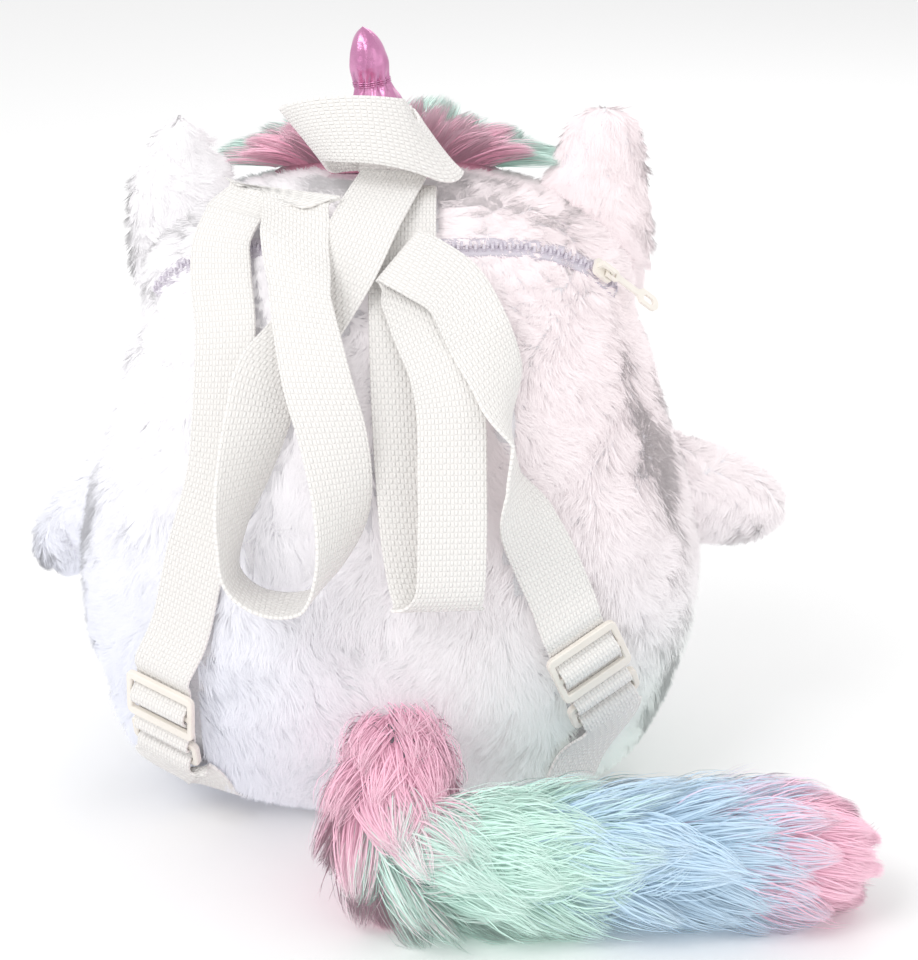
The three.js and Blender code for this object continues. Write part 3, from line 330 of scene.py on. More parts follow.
def srgb(red, green, blue):
    """A screen colour of 0 to 255 as linear light."""
    share = np.array([red, green, blue]) / 255
    return np.where(share <= 0.04045, share / 12.92, ((share + 0.055) / 1.055) ** 2.4)


class Wire:
    """A value in a material's tree. Arithmetic on it adds Math nodes."""

    def __init__(self, finish, socket):
        self.finish = finish
        self.socket = socket

    def join(self, operation, *values):
        return self.finish.node("ShaderNodeMath", {"operation": operation}, dict(enumerate(values)))

    def __add__(self, other):
        return self.join("ADD", self, other)

    def __sub__(self, other):
        return self.join("SUBTRACT", self, other)

    def __mul__(self, other):
        return self.join("MULTIPLY", self, other)

    def __truediv__(self, other):
        return self.join("DIVIDE", self, other)

    def __pow__(self, other):
        return self.join("POWER", self, other)

    def __radd__(self, other):
        return self.join("ADD", other, self)

    def __rsub__(self, other):
        return self.join("SUBTRACT", other, self)

    def __rmul__(self, other):
        return self.join("MULTIPLY", other, self)

    def sine(self):
        return self.join("SINE", self)

    def fraction(self):
        return self.join("FRACT", self)

    def whole(self):
        return self.join("FLOOR", self)

    def modulo(self, other):
        return self.join("FLOORED_MODULO", self, other)

    def absolute(self):
        return self.join("ABSOLUTE", self)


class Finish:
    """A material under construction, with one method that adds any node."""

    def __init__(self, name, **constants):
        self.material = bpy.data.materials.new(name)
        self.material.use_nodes = True
        self.tree = self.material.node_tree
        self.tree.nodes.clear()
        self.shader = self.tree.nodes.new("ShaderNodeBsdfPrincipled")
        output = self.tree.nodes.new("ShaderNodeOutputMaterial")
        self.tree.links.new(self.shader.outputs["BSDF"], output.inputs["Surface"])
        for socket, value in constants.items():
            name = socket.replace("_", " ").title().replace("Ior", "IOR")
            self.shader.inputs[name].default_value = value

    def node(self, kind, settings=None, sockets=None, output=0):
        made = self.tree.nodes.new(kind)
        for setting, value in (settings or {}).items():
            if setting == "stops":
                self._stops(made, value)
            else:
                setattr(made, setting, value)
        for key, value in (sockets or {}).items():
            self._feed(made.inputs[key], value)
        return Wire(self, made.outputs[output])

    def _feed(self, socket, value):
        if isinstance(value, Wire):
            self.tree.links.new(value.socket, socket)
        else:
            socket.default_value = value

    @staticmethod
    def _stops(made, stops):
        band = made.color_ramp.elements
        while len(band) < len(stops):
            band.new(1.0)
        for stop, (place, colour) in zip(band, stops):
            stop.position = place
            stop.color = (*colour, 1.0)

    def mix(self, share, first, second):
        """Two colours mixed by a share, each a wire or a plain colour."""
        plain = [c if isinstance(c, Wire) else (*c, 1.0) for c in (first, second)]
        return self.node("ShaderNodeMix", {"data_type": "RGBA"}, {0: share, 6: plain[0], 7: plain[1]}, output=2)

    def noise(self, size, detail=3.0, place=None):
        """Noise in a pattern of about a given size in metres, on object coordinates."""
        place = place or self.node("ShaderNodeTexCoord", output="Object")
        return self.node("ShaderNodeTexNoise", {}, {"Vector": place, "Scale": 1 / size, "Detail": detail})

    def colour(self, value):
        self._feed(self.shader.inputs["Base Color"], value)

    def roughness(self, value):
        self._feed(self.shader.inputs["Roughness"], value)

    def feed(self, name, value):
        self._feed(self.shader.inputs[name], value)

    def let_light_through(self, colour, share):
        """Mix in a share of light that comes through from behind."""
        through = self.node("ShaderNodeBsdfTranslucent", {}, {"Color": colour})
        front = Wire(self, self.shader.outputs["BSDF"])
        mixed = self.node("ShaderNodeMixShader", {}, {0: share, 1: front, 2: through})
        output = next(node for node in self.tree.nodes if node.type == "OUTPUT_MATERIAL")
        self.tree.links.new(mixed.socket, output.inputs["Surface"])

    def relief(self, height, distance, strength=1.0):
        """Bump from a height of nought to one that stands for a distance in metres."""
        bump = self.node("ShaderNodeBump", {}, {"Height": height, "Distance": distance, "Strength": strength})
        self.tree.links.new(bump.socket, self.shader.inputs["Normal"])


def pile_finish(name, sheen, painted_glow):
    """Fibres: the mesh's own tint, mottled by fine noise, with an emission in that colour: painted light that
    stands for the light fibres pass on.
    """
    finish = Finish(name, roughness=0.85, sheen_weight=sheen, sheen_roughness=0.5, specular_ior_level=0.2,
                    emission_strength=painted_glow)
    tint = finish.node("ShaderNodeAttribute", {"attribute_name": "tint"}, output="Color")
    mottled = finish.mix(finish.noise(0.004) * 0.16, tint, (1.0, 1.0, 1.0))
    finish.colour(mottled)
    # Painted light: the fibres shine by emission in their own mottled colour.
    finish.feed("Emission Color", mottled)
    finish.feed("Normal", finish.node("ShaderNodeAttribute", {"attribute_name": "facing"}, output="Vector"))
    finish.let_light_through(mottled, 0.12)
    return finish.material


def backing_finish(name, dark, light):
    """The knitted ground under the fibres: a soft mottle with small loops in relief."""
    finish = Finish(name, roughness=0.95, sheen_weight=0.3)
    finish.colour(finish.mix(finish.noise(0.02), dark, light))
    finish.relief(finish.noise(0.0012, 2.0), 0.0006, 0.6)
    return finish.material


def webbing_finish(name, gap, thread):
    """Basket weave: each cell is a pillow of sines, and cells that differ in parity stand unlike. The colour
    darkens where the weave sinks, a painted shade in its gaps.
    """
    finish = Finish(name, roughness=0.62, sheen_weight=0.25, specular_ior_level=0.4)
    cloth = finish.node("ShaderNodeUVMap", {"uv_map": "cloth"})
    split = finish.node("ShaderNodeSeparateXYZ", {}, {0: cloth})
    along, across = (Wire(finish, split.socket.node.outputs[k]) for k in (0, 1))
    parity = (along.whole() + across.whole()).modulo(2.0)
    pillow = (along.fraction() * math.pi).sine() * (across.fraction() * math.pi).sine()
    strands = ((along * 6 * math.pi).sine() * parity + (across * 6 * math.pi).sine() * (1 - parity)).absolute()
    height = (pillow ** 0.6) * (0.3 + 0.7 * parity) * (0.85 + 0.15 * strands)
    mottle = finish.noise(0.03) * 0.1
    # Painted shade: low parts of the weave take the darker gap colour.
    finish.colour(finish.mix(height * 1.1 + mottle, gap, thread))
    finish.roughness(0.75 - height * 0.2)
    finish.relief(height, 0.00055, 0.9)
    return finish.material


def foil_finish(name, deep, painted_highlight):
    """Shiny foil cloth: a deep pink of painted shade and a pale pink of painted highlight, mixed in broad crumples,
    fine creases in relief, and a mirror-like coat.
    """
    finish = Finish(name, metallic=0.85, coat_weight=0.3, coat_roughness=0.15)
    crumple = finish.noise(0.012, 4.0)
    # Painted shade and painted highlights: crumples of noise mix the deep pink and the highlight pink.
    finish.colour(finish.mix(crumple, deep, painted_highlight))
    finish.roughness(0.2 + finish.noise(0.004) * 0.22)
    finish.relief(finish.noise(0.006, 5.0), 0.0012, 0.7)
    return finish.material


def plastic_finish(name, dark, light):
    """Moulded plastic: a faint cloud in the colour, a fine grain, and a roughness that varies a little by noise."""
    finish = Finish(name, coat_weight=0.15, coat_roughness=0.3, specular_ior_level=0.5)
    finish.colour(finish.mix(finish.noise(0.015), dark, light))
    finish.roughness(0.3 + finish.noise(0.003) * 0.18)
    finish.relief(finish.noise(0.0009, 2.0), 0.00008, 0.5)
    return finish.material


def tape_finish(name, gap, thread):
    """Zip tape: fine ribs along the cloth, darker in their grooves, a painted shade."""
    finish = Finish(name, roughness=0.8, sheen_weight=0.2)
    cloth = finish.node("ShaderNodeUVMap", {"uv_map": "cloth"})
    split = finish.node("ShaderNodeSeparateXYZ", {}, {0: cloth})
    along, across = (Wire(finish, split.socket.node.outputs[k]) for k in (0, 1))
    rib = (across * 4 * math.pi).sine() * 0.5 + (along * 4 * math.pi).sine() * 0.3 + 0.5
    # Painted shade: the grooves between ribs take the darker colour.
    finish.colour(finish.mix(rib, gap, thread))
    finish.relief(rib, 0.0002, 0.6)
    return finish.material


def egg_surface(inset):
    """The skin as a function of bearing and height, set in along its normal."""
    def surface(bearing, height):
        height = np.clip(height, 0.004, 0.996)
        return egg(bearing, height) - egg_normal(bearing, height) * inset
    return surface


def plush_tint(points, dice, depth):
    """White, with painted light: a lavender shade low on the left, pink light on the right and mint light beside
    the tail. Darker at the roots, a painted shade.
    """
    x, z = points[:, :1], points[:, 2:3]
    white = srgb(252, 250, 252)
    tint = np.repeat(white[None], len(points), axis=0)
    # Painted light over the white: lavender shade low on the left, pink light on the right, mint light beside the
    # tail.
    for colour, weight in (
        (srgb(226, 232, 250), 0.6 / (1 + np.exp((x + 30) / 22)) / (1 + np.exp((z - 120) / 30))),
        (srgb(255, 236, 238), 0.6 / (1 + np.exp((10 - x) / 25)) / (1 + np.exp((110 - z) / 25))),
        (srgb(222, 242, 232), 0.6 / (1 + np.exp((55 - x) / 12)) / (1 + np.exp((z - 62) / 12))),
    ):
        tint = tint * (1 - weight) + colour * weight
    # The depth darkens each hair: a random tone for its tuft and a painted shade at its root.
    return tint * (0.97 + 0.03 * dice.random((len(points), 1))) * (1 - depth)


def plush_pile(name, surface, sample, count, length, seed, lean=1.35, keep=None, trim=None):
    """Short pile: hairs lean down a gently swirling nap and gather into small tufts. A trim shortens some."""
    dice = np.random.default_rng(seed)
    root, normal = scatter(sample, surface, count, dice)
    if keep is not None:
        chosen = keep(root, normal)
        root, normal = root[chosen], normal[chosen]
    count = len(root)
    down = np.array([0.0, 0.0, -1.0])
    nap = unit(down - normal * dot(down[None], normal) + 1e-6)
    aside = np.cross(normal, nap)
    swirl = 1.1 * swell(root, 60, 5) + 0.9 * swell(root, 22, 6) + 0.35 * dice.normal(size=count)
    nap = nap * np.cos(swirl)[:, None] + aside * np.sin(swirl)[:, None]
    aim = unit(normal + nap * (lean * dice.uniform(0.6, 1.3, count))[:, None])
    long = length * dice.uniform(0.7, 1.15, count) * (1.0 if trim is None else trim(root))
    bend, member = tuft(root, aim, long, 7.0, 0.45, seed + 1)
    bend += nap * long[:, None] * 0.15
    width = dice.uniform(0.6, 1.08, count) * 1.0
    points, faces, normals, along = hairs(root, normal, aim, long, width, bend, 2, dice, soft=0.9)
    points[:, 2] = np.maximum(points[:, 2], 0.4)
    each = len(points) // count
    # Painted shade: every hair darkens towards its root; each tuft also darkens a little at random.
    shade = np.repeat(0.01 + 0.03 * member, each)[:, None] + 0.05 * (1 - along.reshape(-1, 1))
    tint = plush_tint(points, dice, shade)
    piece = new_piece(name, points, faces, FINISHES["pile"], slot="plush", tint=tint, normals=normals)
    piece.visible_shadow = False
    return piece


FINISHES = {}


def finishes():
    """Makes each material once."""
    if FINISHES:
        return FINISHES
    # Each pile finish's last number is the strength of its painted emission light.
    FINISHES["pile"] = pile_finish("short_pile", 0.1, 0.24)
    FINISHES["ground"] = backing_finish("plush_ground", srgb(240, 238, 243), srgb(250, 249, 251))
    FINISHES["long_fur"] = pile_finish("long_pile", 0.15, 0.22)
    # The mane's and the tail's grounds are darker than their fibres: a painted shade for the gaps between the
    # fibres.
    FINISHES["mane_ground"] = backing_finish("mane_ground", srgb(224, 150, 178), srgb(240, 186, 204))
    FINISHES["tail_ground"] = backing_finish("tail_ground", srgb(150, 196, 190), srgb(176, 214, 212))
    FINISHES["webbing"] = webbing_finish("basket_webbing", srgb(236, 233, 230), srgb(255, 253, 250))
    # The foil's deep pink stands for painted shade, its pale pink for painted highlight.
    FINISHES["foil"] = foil_finish("pink_foil", srgb(168, 84, 138), srgb(238, 176, 214))
    FINISHES["plastic"] = plastic_finish("ivory_plastic", srgb(236, 229, 219), srgb(249, 244, 236))
    # The tape's lavender grey is darker than white tape: a painted shadow for the gap along the zip.
    FINISHES["tape"] = tape_finish("zip_tape_cloth", srgb(206, 198, 212), srgb(236, 231, 239))
    return FINISHES


def cushion(name, surface, u, v, ends, replaces, finish="ground", slot="plush"):
    """A closed padded skin: rings of the surface over a grid of its parameters, capped at both ends."""
    around, along = np.meshgrid(u, v)
    rings = surface(around, along)
    points, faces = closed_skin(rings, *ends)
    piece = new_piece(name, points, outward(points, faces), finishes()[finish], replaces, slot)
    return piece


# Ear sections from the root to the tip: rise, middle, width and thickness as shares of the ear's own sizes
EAR_SECTIONS = {
    "left": np.array([
        [0.0, 0.02, 0.9, 0.85], [0.28, 0.0, 1.0, 1.0], [0.55, 0.01, 0.98, 0.9], [0.64, 0.03, 0.88, 0.8],
        [0.72, 0.02, 0.7, 0.7], [0.8, 0.01, 0.56, 0.6], [0.88, 0.02, 0.4, 0.5], [0.93, 0.02, 0.24, 0.3],
        [0.955, 0.02, 0.0, 0.0],
    ]),
    "right": np.array([
        [0.0, 0.0, 0.9, 0.85], [0.28, 0.04, 1.03, 1.0], [0.62, 0.02, 0.97, 0.9], [0.72, 0.04, 0.87, 0.8],
        [0.8, 0.05, 0.81, 0.7], [0.88, 0.06, 0.74, 0.6], [0.95, 0.08, 0.56, 0.45], [0.985, 0.08, 0.33, 0.25],
        [1.0, 0.08, 0.0, 0.0],
    ]),
}
EAR_ROOT, EAR_HEIGHT, EAR_WIDTH, EAR_THICK, EAR_CUP = 205.0, 72.0, 42.0, 18.0, 4.0
EAR_PLACE, EAR_FORWARD = 0.655, 4.0


def ear_surface(side, sections, inset):
    """An ear by angle and rise: flat ovals whose width and thickness follow the sections, cupped forward."""
    top = sections[-1, 0]

    def surface(angle, share):
        at = np.clip(share, 0, 0.999) * top
        middle, width, thick = (follow(sections[:, 0], sections[:, k], at) for k in (1, 2, 3))
        across = np.cos(angle)
        reach = np.maximum(width * EAR_WIDTH / 2 - inset, 0.3)
        x = side * EAR_PLACE * BODY_HALF + middle * EAR_WIDTH + across * reach
        y = np.sin(angle) * np.maximum(thick * EAR_THICK / 2 - inset, 0.3) - EAR_CUP * (1 - across ** 2)
        return np.stack([x, y + EAR_FORWARD, EAR_ROOT + at * EAR_HEIGHT - inset * share], axis=-1)

    return surface


ARM_PROFILE = np.array([
    [0.0, 1.1], [0.25, 1.06], [0.5, 1.0], [0.7, 0.92], [0.84, 0.78], [0.94, 0.52], [0.985, 0.27], [1.0, 0.0],
])


def arm_surface(side, root_height, droop, length, radius, inset):
    """An arm by angle and distance along: circles round a straight axis, with radii after the profile."""
    root = np.array([side * 0.78 * BODY_HALF, 14.0, root_height * BODY_HEIGHT])
    way = np.array([side * math.cos(math.radians(droop)), 0.0, -math.sin(math.radians(droop))])
    aside = np.array([0.0, 1.0, 0.0])
    up = np.cross(way, aside)

    def surface(angle, share):
        share = np.clip(share, 0, 0.999)
        round_in = np.maximum(follow(ARM_PROFILE[:, 0], ARM_PROFILE[:, 1], share) * radius - inset, 0.2)
        circle = aside * np.cos(angle)[..., None] + up * np.sin(angle)[..., None]
        return root + way * (share * (length - inset))[..., None] + circle * round_in[..., None]

    return surface


ARMS = {"left": (-1, 0.5, 40, 64.0, 18.6), "right": (1, 0.49, 15, 68.0, 20.0)}


def zip_line(at):
    """The zip's centre on the back, as shares across and up: level in the middle, dropping at both ends."""
    return 0.735 * at, 0.926 - 0.092 * np.abs(at) ** 5


def from_zip(root, depth):
    """How far roots are from the zip's line, drawn at their own depth. Far ones come out as a large number."""
    count = 400
    line, _ = on_back(*zip_line(np.linspace(-1, 1, count)), np.full(count, -depth))
    nearest = np.full(len(root), 1e3)
    close = np.where((root[:, 1] < 0) & (root[:, 2] > 195))[0]
    for start in range(0, len(close), 20000):
        some = close[start:start + 20000]
        beside = np.clip(np.searchsorted(line[:, 0], root[some, 0]), 1, count - 1)
        back = np.maximum(beside[:, None] + np.arange(-20, 21, 2), 0)
        spots = line[np.minimum(back, count - 1)]
        nearest[some] = np.linalg.norm(root[some][:, None] - spots, axis=-1).min(axis=1)
    return nearest


PRESS_CELL = 4.0


def webbing_cells(depth):
    """The cells of a grid in which webbing lies close over the pile's roots."""
    found = []
    for path, across in webbing_paths():
        for share in np.linspace(-0.42, 0.42, 15):
            spots = path + unit(across) * WEBBING_WIDTH * share
            lift = clearance(spots)
            height = np.clip(spots[:, 2] / BODY_HEIGHT, 0.002, 0.998)
            _, normal = on_back(spots[:, 0] / BODY_HALF, height, lift * 0)
            near = lift < 7.5
            found.append((spots - normal * (lift + depth)[:, None])[near])
    return np.unique(np.floor(np.concatenate(found) / PRESS_CELL).astype(int) @ [1, 1000, 1000000])


def pressed(root, cells):
    """Which roots lie in one of the cells."""
    return np.isin(np.floor(root / PRESS_CELL).astype(int) @ [1, 1000, 1000000], cells)


def build_body(settings):
    """The egg-shaped body under its pile, in two pieces on the back and one on the front."""
    inset = settings.pile_depth / MM
    surface = egg_surface(inset)
    bearings = np.linspace(-math.pi, math.pi, 180, endpoint=False)
    heights = (1 - np.cos(np.linspace(0.06, 0.985, 120) * math.pi)) / 2
    ends = surface(0.0, 0.0) * [0, 0, 1], surface(0.0, 1.0) * [0, 0, 1]

    def settled(bearing, height):
        return np.maximum(surface(bearing, height), [-1e9, -1e9, 0.3])

    cushion("body_plush", settled, bearings, heights, ends, ["plush_body"])

    def sample(low, high):
        def tries(count):
            dice = np.random.default_rng(int(1000 + low * 10))
            return dice.uniform(low, high, count), (1 - np.cos(dice.uniform(0.03, 0.99, count) * math.pi)) / 2
        return tries

    cells = webbing_cells(inset)

    def keep(root, normal):
        return (from_zip(root, inset) > 1.1) & ~pressed(root, cells)

    def trim(root):
        low = 1 / (1 + np.exp((root[:, 2] - 150) / 22))
        return (0.62 + 0.38 * low) * (1 - 0.3 * np.exp(-(from_zip(root, inset) / 6) ** 2))

    length = settings.pile_length / MM
    quarter = math.pi / 2
    for name, low, high, seed in (
        ("back_pile_left", -2 * quarter, -quarter, 11),
        ("back_pile_right", -quarter, 0.0, 12),
        ("front_pile", 0.0, 2 * quarter, 13),
    ):
        plush_pile(name, surface, sample(low, high), settings.pile_hairs, length, seed, keep=keep, trim=trim)


def build_limbs(settings):
    """Two cupped ears and two stuffed arms, each a padded skin with its own pile."""
    inset = settings.pile_depth / MM * 0.8
    angles = np.linspace(0, 2 * math.pi, 64, endpoint=False)
    heights = 1 - (1 - np.linspace(0, 0.998, 48)) ** 1.6

    def sample(seed):
        def tries(count):
            dice = np.random.default_rng(seed)
            return dice.uniform(0, 2 * math.pi, count), dice.uniform(0.02, 1.0, count)
        return tries

    length = settings.pile_length / MM
    for k, (name, side) in enumerate((("left", -1), ("right", 1))):
        surface = ear_surface(side, EAR_SECTIONS[name], inset)
        ends = surface(0.0, 0.0), surface(0.0, 1.0)
        foot = ends[0] + [-inset, 0, 0]
        cushion(f"ear_{name}_plush", surface, angles, heights, (foot, ends[1]), [f"ear_{name}"])
        plush_pile(f"ear_{name}_pile", surface, sample(20 + k), settings.limb_hairs, length * 0.75, 20 + k,
                   lean=1.1, keep=outside_body)
        surface = arm_surface(*ARMS[name], inset)
        ends = surface(0.0, 0.0), surface(0.0, 1.0)
        cushion(f"arm_{name}_plush", surface, angles, heights, ends, [f"arm_{name}"])
        plush_pile(f"arm_{name}_pile", surface, sample(30 + k), settings.limb_hairs, length * 0.6, 30 + k,
                   keep=outside_body)


def outside_body(root, normal):
    """Which roots stand outside the body's own skin."""
    height = np.clip(root[:, 2] / BODY_HEIGHT, 0, 1)
    at = climb(height)
    side, back, front = (np.maximum(follow(RING_KEYS, BODY_RINGS[:, k], at), 1e-6) for k in (1, 2, 3))
    depth = np.where(root[:, 1] < 0, BACK_DEPTH * back, FRONT_DEPTH * front)
    reach = np.abs(root[:, 0] / (BODY_HALF * side)) ** SQUARENESS + np.abs(root[:, 1] / depth) ** SQUARENESS
    return (reach > 0.93) | (root[:, 2] > BODY_HEIGHT)


# Horn sections from the root to the tip: rise and radius as shares of its own sizes
HORN_SECTIONS = np.array([
    [0.0, 1.0], [0.14, 0.98], [0.24, 0.84], [0.3, 0.8], [0.36, 0.85], [0.45, 0.88], [0.54, 0.78], [0.61, 0.6],
    [0.65, 0.53], [0.7, 0.56], [0.77, 0.61], [0.85, 0.54], [0.92, 0.4], [0.97, 0.22], [1.0, 0.0],
])
HORN_PLACE = np.array([1.0, 30.0, 237.0])
HORN_LENGTH, HORN_RADIUS = 65.0, 12.6
HORN_LEAN = unit(np.array([-0.17, 0.0, 1.0]))
HORN_PINCH, THREAD_TURNS, THREAD_CLIMB, THREAD_RADIUS = 0.645, 3, 0.006, 0.32


def horn_surface(angle, rise):
    """The horn: a leaning cone whose radius follows the sections, with pleats that deepen at each gather."""
    rise = np.clip(rise, 0, 1)
    side = np.array([0.0, 1.0, 0.0])
    up = np.cross(side, HORN_LEAN)
    radius = follow(HORN_SECTIONS[:, 0], HORN_SECTIONS[:, 1], rise) * HORN_RADIUS
    gather = np.exp(-((rise - 0.65) / 0.06) ** 2) + 0.7 * np.exp(-((rise - 0.3) / 0.07) ** 2)
    drift = 2.2 * np.sin(rise * 9) + 0.8 * np.sin(2 * angle)
    pleat = (0.09 * gather + 0.012) * np.cos(11 * angle + drift) + 0.03 * np.sin(5 * angle + 14 * rise)
    crumple = 0.02 * np.sin(23 * rise + 3 * angle) * np.sin(7 * angle - 11 * rise)
    radius = np.maximum(radius * (1 + pleat + crumple * (rise > 0.05)), 0.02)
    circle = side * np.cos(angle)[..., None] + up * np.sin(angle)[..., None]
    return HORN_PLACE + HORN_LEAN * (rise * HORN_LENGTH)[..., None] + circle * radius[..., None]


def build_horn():
    """The gathered foil horn, with a wound thread in the pinch under its tip."""
    angles = np.linspace(0, 2 * math.pi, 132, endpoint=False)
    rises = 1 - (1 - np.linspace(0, 0.999, 150)) ** 1.5
    ends = HORN_PLACE, horn_surface(0.0, 1.0)
    cushion("horn_foil", horn_surface, angles, rises, ends, ["horn"], "foil", "horn_foil")
    turns = np.linspace(0, THREAD_TURNS * 2 * math.pi, 150)
    rise = HORN_PINCH + THREAD_CLIMB * turns / math.pi
    ring = horn_surface(turns, rise)
    out = unit(ring - HORN_PLACE - HORN_LEAN * (rise * HORN_LENGTH)[:, None])
    tube("horn_thread", ring + out * 0.1, THREAD_RADIUS, 6, finishes()["foil"], slot="horn_foil")


def tube(name, path, radius, sides, finish, **more):
    """A round thread: circles of one radius set square to a path's own steps."""
    along = unit(np.gradient(path, axis=0))
    aside = unit(np.cross(along, [0.13, 0.21, 0.97]))
    up = np.cross(along, aside)
    angle = np.linspace(0, 2 * math.pi, sides, endpoint=False)[None, :, None]
    rings = path[:, None] + radius * (aside[:, None] * np.cos(angle) + up[:, None] * np.sin(angle))
    points, faces = closed_skin(rings, path[0], path[-1])
    return new_piece(name, points, outward(points, faces), finish, **more)


def blend_stops(stops, at):
    """Colours along a line of stops, each mixed straight with the next."""
    places = np.array([place for place, _ in stops])
    colours = np.array([colour for _, colour in stops])
    return np.stack([np.interp(at, places, colours[:, k]) for k in range(3)], axis=-1)


def long_hairs(name, root, normal, aim, long, bend, width, colour, dice, slot, rows=6, floor=0.5):
    """Long fibres: darker at the root, a painted shade, and paler towards the tip."""
    points, faces, normals, along = hairs(root, normal, aim, long, width, bend, rows, dice, soft=0.55)
    points[:, 2] = np.maximum(points[:, 2], floor + 0.8 * dice.random(len(points)))
    each = 2 * rows - 1
    tone = np.repeat(colour, each, axis=0)
    along = along.reshape(-1, 1)
    # Painted shade: each fibre darkens towards its root.
    shade = 0.84 + 0.16 * np.minimum(along * 2.2, 1)
    pale = 0.3 * along ** 2
    tint = np.clip(tone * shade * (1 - pale) + pale, 0, 1)
    return new_piece(name, points, faces, finishes()["long_fur"], slot=slot, tint=tint, normals=normals)


TAIL_ROUTE = np.array([
    [0.03, 0.72, 1.75, 0.5], [0.03, 1.08, 1.62, 0.6], [0.02, 1.3, 1.3, 0.64], [0.07, 1.44, 1.08, 0.66],
    [0.22, 1.5, 1.02, 0.7], [0.42, 1.49, 1.01, 0.72], [0.62, 1.47, 1.01, 0.72], [0.8, 1.44, 1.0, 0.7],
    [0.95, 1.41, 0.95, 0.6], [1.02, 1.39, 0.9, 0.3],
])
TAIL_REACH, TAIL_RADIUS = 150.0, 28.0


def tail_frame(at):
    """The tail's middle line at shares of its length, its direction, and two directions square to it."""
    controls = TAIL_ROUTE[:, :3] * [TAIL_REACH, -BACK_DEPTH, TAIL_RADIUS]
    line = spline(controls, 40)
    keys = np.linspace(0, 1, len(line))
    middle = np.stack([np.interp(at, keys, line[:, k]) for k in range(3)], axis=-1)
    slope = np.gradient(line, axis=0)
    along = unit(np.stack([np.interp(at, keys, slope[:, k]) for k in range(3)], axis=-1))
    aside = unit(np.cross([0.0, 0.0, 1.0], along))
    return middle, along, aside, np.cross(along, aside)


def build_tail(settings):
    """The long-haired tail: a core, and fibres that leave it towards the tip in three colours."""
    rows = np.linspace(0, 1, 80)
    angles = np.linspace(0, 2 * math.pi, 40, endpoint=False)

    def core(angle, share):
        share = np.clip(share, 0, 1)
        middle, _, aside, up = tail_frame(share)
        radius = np.interp(share, np.linspace(0, 1, len(TAIL_ROUTE)), TAIL_ROUTE[:, 3]) * TAIL_RADIUS
        radius = radius * (0.9 - 0.15 * (share > 0.97))
        circle = aside * np.cos(angle)[..., None] + up * np.sin(angle)[..., None]
        return middle + circle * radius[..., None]

    def settled(angle, share):
        return np.maximum(core(angle, share), [-1e9, -1e9, 1.0])

    ends = tail_frame(np.array(0.0))[0], tail_frame(np.array(1.0))[0]
    cushion("tail_core", settled, angles, rows, ends, ["tail"], "tail_ground", "tail_fur")

    pink, mint, blue = (srgb(*colour) for colour in ((255, 188, 214), (205, 245, 231), (188, 220, 244)))
    stops = [
        (0.0, pink), (0.24, pink), (0.33, mint), (0.51, mint), (0.6, blue), (0.77, blue), (0.84, pink), (1.0, pink),
    ]
    length = settings.tail_hair / MM
    for k in range(settings.tail_pieces):
        dice = np.random.default_rng(50 + k)
        count = settings.tail_hairs // 1
        most = count * 8 // 10
        share = np.concatenate([dice.uniform(0.02, 0.97, most), dice.uniform(0.8, 1.0, count - most)])
        angle = dice.uniform(0, 2 * math.pi, count)
        middle, along, aside, up = tail_frame(share)
        out = aside * np.cos(angle)[:, None] + up * np.sin(angle)[:, None]
        root = core(angle, share) - out * 1.5
        flare = np.radians(dice.normal(30, 10, count).clip(6, 62)) * (1 - 0.35 * (share > 0.85))
        stray = 0.16 * dice.normal(size=(count, 3))
        aim = unit(along * np.cos(flare)[:, None] + out * np.sin(flare)[:, None] + stray)
        long = length * dice.uniform(0.65, 1.12, count) * (1 - 0.12 * np.clip((share - 0.86) / 0.14, 0, 1))
        pull, member = tuft(root, aim, long, 13.0, 0.78, 60)
        bend = pull - out * (long * 0.16)[:, None] + [0, 0, -3.0]
        width = dice.uniform(0.5, 0.95, count) * 1.0
        colour = blend_stops(stops, share + 0.03 * dice.normal(size=count) + 0.05 * swell(root, 30, 3))
        colour = colour * (0.88 + 0.12 * member)[:, None]
        long_hairs(f"tail_fur_{k + 1}", root, out, aim, long, bend, width, colour, dice, "tail_fur")


